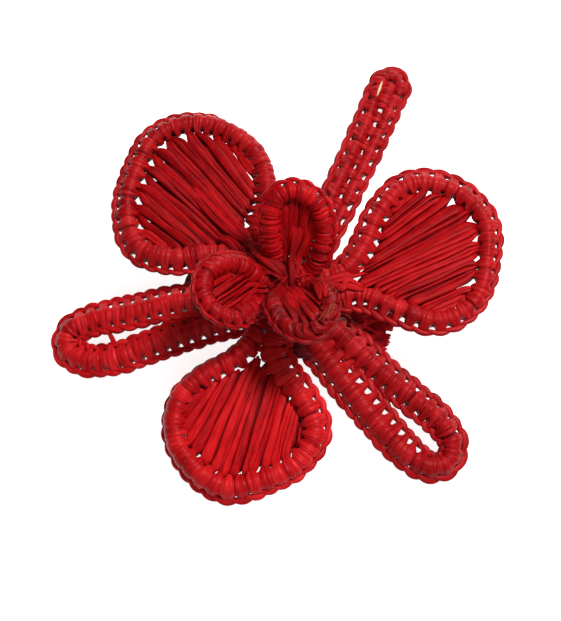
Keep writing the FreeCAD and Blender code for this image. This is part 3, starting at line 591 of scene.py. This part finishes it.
def laced_strips(petal, seed):
    """Raffia laced across a petal: soft ribbons side by side, each lying a little over the
    next, thinned and turned down at the ends, on an under-layer darkened with painted shade."""
    rng = np.random.default_rng(seed)
    ribbon = petal.get("ribbon", 1.0)
    outline = smooth_path(petal["outline"], 5)
    left, right = outline[:, 1].max() - petal["band"], outline[:, 1].min() + petal["band"]
    half_width = (left - right) / 2
    middle_s = outline[:, 0].max() * WIDEST_AT
    pitch = 2 * half_width / petal["strips"]
    at_right, at_middle, at_left = petal["lean"]
    strands = []
    for i in range(petal["strips"] * 2 - 1):
        under = i % 2 == 1
        off = right + pitch * (i / 2 + 0.5 + rng.normal(0, 0.07)) - (left + right) / 2
        spread = (at_left - at_middle if off > 0 else at_middle - at_right) / half_width
        slope = at_middle + spread * off + rng.normal(0, 0.012)
        middle = (middle_s, (left + right) / 2 + off)
        inset = petal["band"] - (0.1 if under else 0.45)
        ladder = LADDER_MM - 1.45 * abs(off) / half_width  # wider towards the neck
        short = inset + (ladder if off * petal.get("ladder", 0) > 0 else 0.0)
        open_tip = petal["band"] + petal.get("tip_gap", 0.7) if under else inset
        ends = [strip_end(outline, reach, middle, slope, spread, way)
                for reach, way in ((short, -1), (open_tip, 1))]
        if None in ends:
            continue
        length = dist(*ends)
        t = np.linspace(0, 1, max(10, int(length / 0.45)))
        s, line = (first + (last - first) * t for first, last in zip(*ends))
        near_end = np.clip(np.minimum(t / THIN_MM, (1 - t) / petal.get("tip_thin", THIN_MM)) * length,
                           0, 1)
        pairing = petal.get("paired", 0) * np.clip(1 - (1 - t) * length / PAIRED_OVER_MM, 0, 1)
        to_pair = -pairing if i // 2 % 2 else pairing
        fan = 1 + spread * (s - middle_s)
        # each layer's shift and width as shares of the pitch, its height, and its painted shade
        layers = [(0.0, 1.1 * ribbon, -0.8, 0.75)]
        if not under:
            layers = [(0.0, 1.0, -0.9, 0.8)]
            if rng.random() < 0.62:
                layers.append((rng.normal(0, 0.05), rng.uniform(0.92, 1.2) * ribbon, 0.0, 0.0))
            else:
                layers += [(-0.25, 0.55 * ribbon, 0.0, 0.0), (0.24, 0.64 * ribbon, 0.12, 0.0)]
            if rng.random() < 0.3:
                layers.append((rng.uniform(-0.35, 0.35), 0.36 * ribbon, 0.34, 0.0))
        for layer, (shift, share, lifted, painted_shade) in enumerate(layers):
            wander = rng.normal(0, 0.1) * np.sin(2 * pi * (t * rng.uniform(0.6, 1.4)
                                                                + rng.random()))
            v = line + pitch * fan * ((shift + rng.normal(0, 0.05)) * near_end ** 0.7 + to_pair)
            v = v + wander * near_end
            wave = 0.12 * np.sin(t * length * rng.uniform(0.2, 0.45) + rng.uniform(0, 6.28))
            rise = (lifted + petal.get("fill", 0) + rng.normal(0, 0.16) + wave
                    - TURNED_DOWN_MM * (1 - near_end) ** 2)
            normal = sheet_normal(petal, s, v)
            tilt = radians(rng.normal(13, 8))
            points = on_sheet(petal, s, v) + normal * rise[:, None]
            _, sideways, up = frames_along(points, normal)
            leaning = up * cos(tilt) + sideways * sin(tilt)
            pinch = 1 - 0.3 * np.exp(-((t - rng.uniform(0.1, 0.9)) * length / 3) ** 2) * rng.random()
            width = pitch * share * rng.uniform(0.92, 1.12) * fan * (0.45 + 0.55 * near_end) * pinch
            strands.append(soft_strand(points, leaning, width, 0.3 + 0.3 * width,
                                       seed * 1000 + i * 4 + layer, rng.integers(1, 4), 20, painted_shade))
    return strands


def wrapped_rim(name, petal, seed, raffia):
    """The wound band of a petal or loop, and the chain along its edge."""
    rim = rim_line(petal)
    mesh_piece("wrapped_" + name, [wound_band(rim, petal, seed)], "petal_raffia", raffia,
               name + "_band")
    mesh_piece("chain_" + name,
               edge_chain(rim, petal["band"], petal["stand"], petal["roll"], seed + 20,
                          petal.get("chain_stitch", petal["stitch"]), petal["chain"]),
               "chain_raffia", raffia, name + "_edge_chain")
    return rim


def laced_petal(name, petal, seed, wrapping, strips):
    """A petal: its rim, and the strips across."""
    wrapped_rim(name, petal, seed, wrapping)
    mesh_piece("laced_" + name, laced_strips(petal, seed + 40), "petal_raffia", strips,
               name + "_fill")


for seed, (name, petal) in enumerate(ROUND_PETALS.items(), 1):
    glimpse = CORE_GLIMPSE if name == "upper_left_petal" else CREASE_SHADE
    laced_petal(name, petal, seed,
                dyed_raffia("dyed_raffia_wrapping_" + name, WRAP_COLOURS, glimpse=glimpse,
                            dye_and_light=petal["dye_and_light"], sheen=0.05),
                dyed_raffia("dyed_raffia_strips_" + name, STRIP_COLOURS, 0.48, dye_and_light=petal["dye_and_light"]))

# Where the strips of the lower petal are drawn together in its neck, one is wound across
# and the first few run out from under it.
t = np.linspace(0, 1, 16)
neck_width = 1.0 + 0.4 * arch(t)
neck = [sheet_strand(ROUND_PETALS["lower_petal"], s0 + (s1 - s0) * t, v0 + (v1 - v0) * t, -0.5,
                     neck_width, 0.5 * neck_width, 460 + i)
        for i, (s0, s1, v0, v1) in enumerate(((8.3, 12.6, -2.3, -3.4), (8.1, 12.8, -1.9, -1.5),
                                              (6.2, 6.0, -4.4, 0.2)))]
mesh_piece("neck_strips", neck, "petal_raffia",
           bpy.data.materials["dyed_raffia_strips_lower_petal"], "lower_petal_fill")


# ---- Narrow loops ------------------------------------------------
# Long loops of the same wrapped wire.  Two have a chain along the inside as well, with an
# open slot between; the slimmest has its two arms stitched together down the middle.
LOOP_Z = 11.2
INNER_CHAIN = 1.35  # its strands' width in mm
LOOPS = grouped({"start": 6, "height": LOOP_Z, "cup": 0}, {
    "left_loop": dict(
        azimuth=201, lift=-2, droop=-19, reach=42, band=1.85, stitch=2.55, chain=1.3, plump=0.9,
        dye_and_light=0.94, roll=(0,), inner_stand=(0.85, 0.9, 1.3), wrap=(0.2, 0.15, 0.12),
        stand=(1.2, 1.5, 1, 0.5, 1.25, 1.15, 1.8), pinch=(0, 0.2, 0.35),
        outline=[(0, 1.4), (9, 2.1), (16, 3.2), (24, 5), (33, 6.2), (38.3, 4.9), (41.2, 1.5),
                 (39.9, -1.6), (36, -2.7), (27, -2.9), (18, -3.5), (9, -3.3), (0, -2.9)]),
    "lower_right_loop": dict(
        azimuth=331, lift=-2, droop=-20, reach=40,
        band=1.85, stitch=2.7, chain=1.35, dye_and_light=0.69, painted_neck_shade=0.7,
        roll=(0, 0, -20), inner_stand=(0.9, 1, 1, 1, -0.2, 1.7, 2, 1.9, 1.7),
        wrap=(0.45, 0.4, 0.25, 0.15, 0.2, 0.35, 0.5), stand=(1.25, 1.2, 0.9, 0.6, 0.65, 1.05, 1.5),
        pinch=(0, 0, 0.3, 0.1, -0.1, -0.2, -0.3),
        outline=[(0, 2.2), (9, 2.2), (17, 2.4), (25, 3.3), (32, 3.9), (36.6, 2.6), (38.5, -0.3),
                 (37.2, -3.5), (32.3, -5.6), (25, -5.7), (17, -4.9), (9, -3.7), (0, -2.2)]),
    "upper_right_loop": dict(
        azimuth=83, lift=0, droop=-15, reach=50, band=1.25, stitch=3.75, chain=1.15, dye_and_light=0.67,
        roll=(60, 10, 0), inner_stand=(0.15, 0.15, 0.3, 0.3, 0.15, 0.1, 0.1),
        wrap=(0.25, 0, -0.15), stand=(0.75, 0.9, 1, 0.4, 0.65, 0.7, -0.3),
        pinch=(0.1, 0.1, 0.2, 0.3, 0.5, 0.6, 0.6),
        outline=[(0, 1.8), (8, 1.8), (16, 1.6), (28, 1.3), (40, 1.4), (48.5, 2), (51.8, 1.8),
                 (53.2, 0), (51.6, -1.8), (45, -2.2), (32, -2.2), (16, -1.9), (8, -1.9),
                 (0, -2.1)]),
})
SEAM_STITCHES = 14
SEAM_PITCH_MM = 3.85


def seam_strands(petal, seed):
    """Stitches between the slim loop's two arms: two strands each, and small holes between."""
    rng = np.random.default_rng(seed)
    outline = np.array(petal["outline"], float)
    tip = int(outline[:, 0].argmax())
    left, right = outline[:tip + 1], outline[tip:][::-1]
    strands = []
    for i in range(SEAM_STITCHES):
        for leg, shift in enumerate((-0.64, 0.64)):
            # the stitches stand closer together near the tip
            s = min(2.4 + i * SEAM_PITCH_MM, 22.1 + 2.1 * i) + shift + rng.normal(0, 0.06)
            lean = 0.35 - 0.6 * leg + rng.normal(0, 0.12)
            t = np.linspace(0, 1, 11)
            v_left = np.interp(s, left[:, 0], left[:, 1]) - petal["band"] + 0.5
            v_right = np.interp(s + lean, right[:, 0], right[:, 1]) + petal["band"] - 0.6
            width = rng.uniform(1.42, 1.58) * (0.84 + 0.16 * arch(t))
            strands.append(sheet_strand(petal, s + lean * (t - 0.5), v_left + (v_right - v_left) * t,
                                        0.35 + 0.4 * arch(t), width, width * 0.7,
                                        seed * 1000 + i * 2 + leg, folds=3, around=20))
    return strands


for seed, (name, petal) in enumerate(LOOPS.items(), 4):
    wrapping = dyed_raffia("dyed_raffia_wrapping_" + name, WRAP_COLOURS, dye_and_light=petal["dye_and_light"], sheen=0.05)
    rim = wrapped_rim(name, petal, seed, wrapping)
    if name == "upper_right_loop":
        mesh_piece("seam_" + name, seam_strands(petal, seed + 40), "petal_raffia", wrapping,
                   name + "_seam")
    else:
        mesh_piece("inner_chain_" + name,
                   edge_chain(rim, petal["band"], petal["inner_stand"], (0,), seed + 30,
                              petal["stitch"], INNER_CHAIN, inside=True),
                   "chain_raffia", wrapping, name + "_inner_chain")

# One strand bridges the slot of the left loop.
t = np.linspace(0, 1, 12)
bridge = sheet_strand(LOOPS["left_loop"], 32.2 - 1.5 * t, -0.6 + 4.0 * t, -0.2 - 0.3 * arch(t),
                      0.9 + 0.3 * t, 0.7, 480)
mesh_piece("slot_bridge", [bridge], "chain_raffia",
           bpy.data.materials["dyed_raffia_wrapping_left_loop"], "left_loop_inner_chain")

# Near its tip the slim loop shows a sliver of raffia that missed the dye.
UNDYED_COLOURS = ("#B58C5C", "#DCC49A", "#F0E2C6")
sliver = sheet_strand(LOOPS["upper_right_loop"], 45.6 + 4.2 * t, 1.35 + 0.35 * t,
                      1.42 + 0.1 * arch(t), 0.15 + 0.38 * arch(t), 0.2, 470)
mesh_piece("undyed_sliver", [sliver], "petal_raffia",
           dyed_raffia("undyed_raffia", UNDYED_COLOURS, 0.45), "upper_right_loop_seam")


# ---- Cupped petals -----------------------------------------------
# Three short petals that stand up round the middle, made as the round ones are.
CUP_Z = 18.2
CUP_USUAL = {"start": 4.6, "height": CUP_Z, "cup": 0.02, "chain": 1.0, "chain_stitch": 2.15,
             "roll": (0,), "inner_stand": (0.35,)}
CUPPED_PETALS = grouped(CUP_USUAL, {
    "top_cup": dict(
        azimuth=98, lift=60, droop=40, reach=18, band=1.6, stitch=1.9, slant=0.2, dye_and_light=1,
        stand=(0.4, 0.6, 0.4), wrap=(0.2,), strips=4, lean=(-0.2, 0, 0.2), ribbon=0.95,
        outline=[(0, 2.7), (4, 4.2), (9, 5.4), (13.5, 5.6), (17, 4), (17.8, 0.8), (16, -2.8),
                 (12, -4.8), (7, -4.8), (3, -4), (0, -2.7)]),
    "left_cup": dict(
        azimuth=210, lift=50, droop=30, reach=17, band=1.6, stitch=2, slant=0.25, dye_and_light=0.74,
        stand=(0.35,), wrap=(0.2,), strips=5, lean=(0.45, 0.5, 0.55), ribbon=0.62,
        outline=[(0, 2), (3.5, 1.9), (8, 3.8), (12.7, 5.6), (16, 3.7), (17.3, 0.2), (15.8, -4),
                 (11.5, -6.2), (6.5, -6), (3, -4.4), (0, -2.9)]),
    "front_cup": dict(
        azimuth=298, start=0.8, height=CUP_Z + 1.5, lift=68, droop=18, reach=17,
        band=1.5, stitch=3.3, slant=1.9, dye_and_light=0.52, stand=(0.3,), wrap=(0.25,),
        strips=5, lean=(0.15, 0.25, 0.35), ribbon=1.1, fill=1,
        outline=[(0, 1.8), (4, 4.2), (9, 5.4), (13.5, 5.1), (16.8, 3), (17.6, -0.2), (15.6, -3.4),
                 (10.5, -4.8), (5, -4), (0, -1.8)]),
})
# The cups' raffia is darker than the round petals', partly as painted shade in the middle of the
# flower.
CUP_COLOURS = ("#74040A", "#A80910", "#C81519")
WORN_COLOURS = ("#5A0E0C", "#7C2418", "#943C2A")
for seed, (name, petal) in enumerate(CUPPED_PETALS.items(), 7):
    cup_raffia = dyed_raffia("dyed_raffia_" + name, CUP_COLOURS, dye_and_light=petal["dye_and_light"])
    laced_petal(name, petal, seed, cup_raffia, cup_raffia)

# The front cup's lower right edge is worn, and its dye has gone brown there.
u, points, _, outward, normal = rim_line(CUPPED_PETALS["front_cup"])
worn = []
for i in range(3):
    along = (u > u[-1] * (0.32 + 0.02 * i)) & (u < u[-1] * (0.42 + 0.02 * i))
    t = np.linspace(0, 1, along.sum())[:, None]
    angle = radians(40 + 22 * i) + 0.35 * t
    out = outward[along] * np.cos(angle) + normal[along] * np.sin(angle)
    width = 0.12 + 0.42 * arch(t[:, 0])
    worn.append(soft_strand(points[along] + out * (1.85 + 0.15 * arch(t)), out, width,
                            0.3 * width, 490 + i))
mesh_piece("worn_edge", worn, "petal_raffia", dyed_raffia("worn_raffia", WORN_COLOURS, 0.5),
           "front_cup_edge_chain")


# ---- Backing strip -----------------------------------------------
# A strip of raffia crochet in five rows, thicker than the petals and darker as painted shade,
# laid along the upper jaw and following its bend.  Its far end frays into loose strips.
PAD_TOP_Z = 7.45
PAD_START_X, PAD_END_X = -22.6, 21.6
FRAYS_END_X = 20.5
BACKING_ROWS = 5
BACKING_ROW_MM = 1.85
BACKING_STITCH_MM = 2.3
BACKING_COLOURS = ("#7C0C14", "#A8121B", "#C01E26")
BEND_X, BEND_DEG = 9.0, 12.0


def along_backing(x, y, above):
    """Points over the backing's top face."""
    rise = np.maximum(0, x - BEND_X) * tan(radians(BEND_DEG))
    return columns(x, y, PAD_TOP_Z + rise + above)


rows = []
for row in range(BACKING_ROWS):
    x = np.arange(PAD_START_X, PAD_END_X, RING_STEP_MM)
    line = along_backing(x, (row - BACKING_ROWS // 2) * BACKING_ROW_MM, -0.72)
    direction, sideways, normal = frames_along(line, UP)
    for side in (1, -1):
        rows += edge_chain((x - x[0], line, direction, sideways * side, normal), 0.0, (0.35,), (0,),
                           60 + row * 2 + side, BACKING_STITCH_MM, 1.15, wobble=0.13)
mesh_piece("crocheted_backing", rows, "dark_raffia",
           dyed_raffia("dark_dyed_raffia", BACKING_COLOURS, 0.5), "backing_strip")

FRAYS = 46
END_FRAYS = 22  # run out past the end; the rest are loops on the last rows
rng = np.random.default_rng(91)
t = np.linspace(0, 1, 12)
frays = []
for i in range(FRAYS):
    y = rng.uniform(-4.2, 4.2)
    if i < END_FRAYS:
        angle = radians(y * 9 + rng.normal(0, 18))
        length, start, stretch = rng.uniform(0.9, 2.2), 18.4, 1.5
    else:
        angle = rng.uniform(0, 6.28)
        length, start, stretch = rng.uniform(1.8, 3.6), rng.uniform(11.5, 18.2), 1.0
    x = start + stretch * length * t * cos(angle)
    curl = rng.normal(0, 0.9) * t ** 2 if i < END_FRAYS else rng.uniform(0.5, 1.1) * arch(t) + 0.4
    side = np.clip(y + length * t * sin(angle), -4.7, 4.7)
    line = along_backing(np.minimum(x, FRAYS_END_X), side, curl - 0.8)
    width = rng.uniform(0.7, 1.35) * (0.45 + 0.55 * np.sin(pi * (0.1 + 0.8 * t)))
    frays.append(soft_strand(line, UP, width, 0.12 + 0.4 * width, 9100 + i, around=10))
# The frays are brightened half again: painted light against the shade that the right petal casts on
# them.
mesh_piece("frayed_ends", frays, "dark_raffia",
           dyed_raffia("dark_frayed_raffia", BACKING_COLOURS, 0.5, dye_and_light=1.5), "frayed_tuft")


# ---- Knot --------------------------------------------------------
# The stems of all the petals, drawn together and bound with raffia.  The strips run up the
# sides of the knot and cross over its top in a tangle, with deep gaps between them.
HUB_PROFILE = [(5.6, 7.6), (5.6, 9.3), (6.6, 11.2), (6.6, 15.0), (5.5, 18.4), (3.0, 19.9),
               (0.6, 20.4)]  # radius and height
HUB_POINTS = 64
HUB_LUMPS = 9
HUB_STRIPS = 44
HUB_TIES = 10
COIL_MIDDLE_MM = 5.95  # the two turns of cord at the knot's foot
COIL_Z, COIL_RISE = 7.9, 0.9

# The knot's raffia is coloured far darker than the petals': painted shade for the knot under the
# cups.
knot_raffia = dyed_raffia("bound_raffia_knot", ("#22040A", "#520A10", "#8C1218"), 0.5)
rng = np.random.default_rng(77)
profile = smooth_path(HUB_PROFILE, 6)
turn = np.linspace(0, 2 * pi, HUB_POINTS, endpoint=False)
rings = polar(profile[:, 0, None], turn, profile[:, 1, None])
lumps = 0.35 * np.sin(turn * HUB_LUMPS) * np.sin(profile[:, 1] * 1.3)[:, None]
rings[..., :2] *= (1 + lumps / 8)[..., None]
fibre = columns(profile[:, 1, None], turn * 6, np.floor(turn * HUB_LUMPS / 6.28))
# the knot's core takes the full painted crease shade
bound = [(rings, fibre, 1.0)]
for i in range(HUB_STRIPS):
    azimuth = i * 2 * pi / HUB_STRIPS + rng.normal(0, 0.05)
    sway = rng.normal(0, 0.35)
    t = np.linspace(0, 1, 16)
    place = t * (len(profile) - 1) * rng.uniform(0.85, 1.0)
    radius, z = (np.interp(place, range(len(profile)), profile[:, k]) + 0.15 for k in (0, 1))
    bend = azimuth + sway * t
    width = rng.uniform(0.7, 1.3) * (1 - 0.35 * t)
    bound.append(soft_strand(polar(radius, bend, z), unit(polar(1, bend, 0.3 + t)), width,
                             width * 0.55, 7700 + i, around=10))

for i in range(HUB_TIES):
    # strips between the lower petal's stem and the right loop's, darkened with painted shade where
    # the cups' shadow falls
    t = np.linspace(0, 1, 14)[:, None]
    ends = [on_sheet(petal, np.array([s_end]), np.array([v_end]))[0]
            for petal, s_end, v_end in ((ROUND_PETALS["lower_petal"], 1.5 + 0.6 * i, 0.4),
                                        (LOOPS["lower_right_loop"], 0.6 + 0.6 * i, -2.9))]
    line = ends[0] + (ends[1] - ends[0]) * t - np.array([0, 0, 0.5]) * arch(t)
    width = rng.uniform(0.8, 1.2)
    bound.append(soft_strand(line, [0.0, -0.4, 1.0], width, width * 0.6, 7760 + i, around=10,
                             painted_shade=0.5))
mesh_piece("bound_knot", bound, "knot_raffia", knot_raffia, "hub_knot")

t = np.linspace(0, 2 * pi, 90)
coils = []
for row in range(2):
    line = polar(COIL_MIDDLE_MM, t, COIL_Z + COIL_RISE * row + 0.12 * np.sin(t * 2 + row))
    width = 0.95 + 0.1 * np.sin(t * 5)
    coils.append(soft_strand(line, polar(1, t, 0), width, width * 0.8, 7790 + row, around=12))
mesh_piece("whipping_cord", coils, "knot_raffia", knot_raffia, "hub_whipping")


# ---- Loose strips over the middle --------------------------------
# A few strips from the petals' lacing run on over the knot and are caught in its top.
# For each bundle: the petal that it comes from; how many strips, their width and spacing;
# the places of its middle one on the petal's sheet (along, across, above); and its places
# over the knot after that (x, y, z).
GATHERED = [
    ("upper_left_petal", 4, 1.15, 1.2,
     [(30, -2.6, -1.0), (23, -1.6, 0.2), (14.4, -0.9, 1.2), (9.8, -0.9, 2.8)],
     [(-9.1, 6.2, 20.6), (-5.8, 3.9, 22.4), (-3.0, 2.8, 22.2), (-0.8, 2.2, 20.8)]),
    ("upper_left_petal", 2, 1.1, 1.4, [(15, 2.6, -0.8), (10.5, 1.7, 2.2), (6, 2.0, 3.6)],
     [(-6.4, 2.7, 21.4), (-3.4, 1.4, 21.8), (-0.4, 0.4, 20.8)]),
    ("upper_left_petal", 1, 1.2, 0, [(11.1, 0.9, 0.6), (7.4, 1.3, 3.0)],
     [(-8.4, 0.8, 20.8), (-5.3, 1.3, 21.6), (-2.3, 2.3, 21.2)]),
    ("top_cup", 2, 1.5, 1.9, [(13, 2.6, -0.4), (8, 2.0, 0.6), (3.5, 1.1, 1.0)],
     [(-0.9, 2.8, 21.4), (-0.3, -1.2, 21.2)]),
    ("top_cup", 1, 1.5, 0, [(11, 0.6, -0.3), (7, 0.4, 1.2)],
     [(-1.5, 4.2, 23.4), (-0.4, 1.4, 23.0), (0.2, -0.8, 21.4)]),
    ("top_cup", 2, 1.3, 1.7, [(12.5, -1.2, -0.5), (8, -0.9, 0.5), (4, -0.1, 0.8)],
     [(0.6, 3.0, 21.1), (0.3, 0.4, 20.7)]),
    ("left_cup", 2, 1.1, 2.0, [(9, 0.4, -0.5), (5, -1.4, 0.6), (2, -1.6, 1.0)],
     [(-2.4, 0.6, 20.8), (-0.3, 0.5, 20.4)]),
    ("front_cup", 3, 1.7, 1.5, [(14, 0.2, 0.4), (8, -0.6, 1.4), (3, -0.6, 1.2)],
     [(0.2, 0.4, 20.9), (0.0, 1.6, 20.4)]),
    ("front_cup", 2, 1.5, 1.2, [(12, 4.6, 1.8), (8, 5.2, 2.1), (4, 4.4, 1.6)],
     [(3.6, 1.6, 21.2), (2.2, 2.4, 20.8)]),
    ("right_petal", 2, 1.2, 1.3, [(11, 1.2, -0.8), (6.5, 0.4, 1.0), (3, 0.2, 2.2)],
     [(4.8, 3.6, 19.2), (3.4, 2.8, 19.8)]),
    ("right_petal", 2, 1.4, 1.2, [(8, -3.6, 1.9), (5, -1.8, 2.4)],
     [(9.5, 3.9, 17.8), (7.2, 3.6, 19.2), (4.4, 2.6, 20.4)]),
]
TANGLE = 120  # short loose ends over the knot
KNOTTED_ENDS = 10
KNOT_TOP_Z = 20.3
every_petal = {**ROUND_PETALS, **LOOPS, **CUPPED_PETALS}
rng = np.random.default_rng(31)
loose = []
for bundle, (name, count, thick, apart, places, ends) in enumerate(GATHERED):
    petal = every_petal[name]
    for i in range(count):
        shift = apart * (i - (count - 1) / 2)
        corners = []
        for step, (s, v, above) in enumerate(places):
            aside = v + shift * (1 - 0.16 * step) + rng.normal(0, 0.12)
            at = np.array([float(s)]), np.array([aside])
            up = sheet_normal(petal, *at)
            corners.append((on_sheet(petal, *at) + up * (above + rng.normal(0, 0.12)))[0])
        across = unit(np.cross(UP, np.array(ends[-1]) - corners[-1]))
        for end in ends:
            corners.append(np.array(end) + across * shift * 0.4 + rng.normal(0, 0.15, 3))
        line = smooth_path(corners, 9)
        t = np.linspace(0, 1, len(line))
        taper = np.minimum(1, np.minimum(t, 1 - t) / 0.16) ** 0.6
        width = thick * rng.uniform(0.85, 1.1) * (1 - 0.3 * t) * (0.12 + 0.88 * taper)
        # the strips darken with painted shade as they run in over the knot
        loose.append(soft_strand(line, [0.0, -0.2, 1.0], width, width * 0.32 + 0.1,
                                 8800 + bundle * 20 + i, rng.integers(1, 4), 18, 0.6 * t ** 2))
t = np.linspace(0, 1, 12)
for i in range(TANGLE):
    azimuth = rng.uniform(0, 2 * pi)
    far, near = rng.uniform(2.2, 6.4), rng.uniform(0.3, 2.6)
    low = 20.6 - 0.25 * far
    angle = azimuth + rng.normal(0, 1.1) * t
    radius = far + (near - far) * t
    hump = rng.uniform(0.1, 1.9) * arch(t) + rng.uniform(-0.4, 0.8) * t
    line = polar(radius, angle, low + (KNOT_TOP_Z - low) * t + hump)
    width = rng.uniform(0.45, 1.25) * (0.25 + 0.75 * np.sin(pi * (0.08 + 0.84 * t)) ** 0.5)
    side = unit(polar(0.4, angle, 1) + rng.normal(0, 0.3, 3))
    # painted shade: deep for those in the gap between the left loop and the lower petal, a random
    # share for the rest
    in_gap = cos(azimuth - radians(200)) > 0.5
    loose.append(soft_strand(line, side, width, width * 0.5, 8900 + i, 2, 12,
                             rng.uniform(0.5, 0.95) if in_gap else rng.uniform(0, 0.7)))
t = np.linspace(0, 1, 16)
for i in range(KNOTTED_ENDS):
    # a knotted end beside the front petal, wound round itself, with a little painted shade
    angle, tilt = rng.uniform(0, 6.28) + t * rng.uniform(2.0, 4.0), rng.uniform(-0.8, 0.8)
    radius = rng.uniform(0.5, 1.3)
    line = polar(radius, angle, 21.4 + 0.7 * np.cos(angle + tilt * 3) * tilt + 0.5 * arch(t))
    line = line + [2.0, 0.8, 0.0]
    width = rng.uniform(0.5, 0.9) * (0.4 + 0.6 * arch(t))
    side = unit(np.array([tilt, -tilt, 1.0]))
    loose.append(soft_strand(line, side, width, width * 0.7, 9050 + i, 2, 12, rng.uniform(0, 0.4)))
mesh_piece("loose_strips", loose, "petal_raffia",
           dyed_raffia("dyed_raffia_loose_strips", STRIP_COLOURS, 0.58, dye_and_light=0.78), "centre_strands")


# ---- Table, light and camera -------------------------------------
# A plain white table top, lit mostly by a window behind it and to the right.
TABLE = "#F4F4F4"
TABLE_HALF_M = 1.5
TABLE_GLOW = 0.85  # only as the camera and reflections see the table

table, tree = new_material("matt_white_table")
lit = add(tree, "BsdfDiffuse", Color=linear(TABLE))
glow = add(tree, "Emission", Color=(1, 1, 1, 1), Strength=TABLE_GLOW)
none = add(tree, "Emission", Color=(0, 0, 0, 1), Strength=0.0)
seen = add(tree, "LightPath").outputs
both = add(tree, "Math", {0: seen["Is Camera Ray"], 1: seen["Is Glossy Ray"]}, operation="MAXIMUM")
extra = add(tree, "MixShader", {0: both, 1: none, 2: glow})
add(tree, "OutputMaterial", Surface=add(tree, "AddShader", {0: lit, 1: extra}))
mesh = bpy.data.meshes.new("table_top")
mesh.from_pydata([(x * TABLE_HALF_M, y * TABLE_HALF_M, 0)
                  for x, y in ((-1, -1), (1, -1), (1, 1), (-1, 1))], [], [(0, 1, 2, 3)])
mesh.materials.append(table)
floor = put("table_top", mesh)

FLOWER_MIDDLE = Vector((0, 0, 0.015))
LIGHTS = {  # place and size in metres, and watts
    "window": ((0.24, 0.3, 0.8), 0.26, 9.2),
    "far_window": ((0.1, 0.9, 0.34), 0.4, 2.2),
    "fill": ((0.14, -0.5, 0.7), 0.5, 1.45),
}
ROOM_LIGHT = 0.11


def turned_to(position, target):
    return (Vector(target) - Vector(position)).to_track_quat("-Z", "Y").to_euler()


for name, (position, size, watts) in LIGHTS.items():
    light = bpy.data.lights.new(name, "AREA")
    light.size = size
    light.energy = watts
    lamp = put(name, light)
    lamp.location = position
    lamp.rotation_euler = turned_to(position, FLOWER_MIDDLE)

world = bpy.data.worlds.new("room")
world.use_nodes = True
world.node_tree.nodes.clear()
sky = add(world.node_tree, "Background", Color=(1, 1, 1, 1), Strength=ROOM_LIGHT)
add(world.node_tree, "OutputWorld", Surface=sky)
bpy.context.scene.world = world

DISTANCE_M = 0.45
ELEVATION = radians(70)
AZIMUTH = radians(-75)
VIEW_HEIGHT_M = 0.1242  # what the view takes in at the flower's middle
SENSOR_MM = 36
ASIDE_M, BELOW_M = 0.0023, 0.0025  # the flower's middle isn't quite the view's
toward = Vector((cos(AZIMUTH) * cos(ELEVATION), sin(AZIMUTH) * cos(ELEVATION), sin(ELEVATION)))
camera_data = bpy.data.cameras.new("camera")
camera_data.sensor_width = SENSOR_MM
camera_data.lens = SENSOR_MM * DISTANCE_M / VIEW_HEIGHT_M
camera = put("camera", camera_data)
rotation = turned_to(toward, (0, 0, 0))
right = rotation.to_matrix() @ Vector((1, 0, 0))
up = rotation.to_matrix() @ Vector((0, 1, 0))
camera.location = FLOWER_MIDDLE + toward * DISTANCE_M - right * ASIDE_M - up * BELOW_M
camera.rotation_euler = rotation
bpy.context.scene.camera = camera
bpy.context.scene.view_settings.view_transform = "Standard"
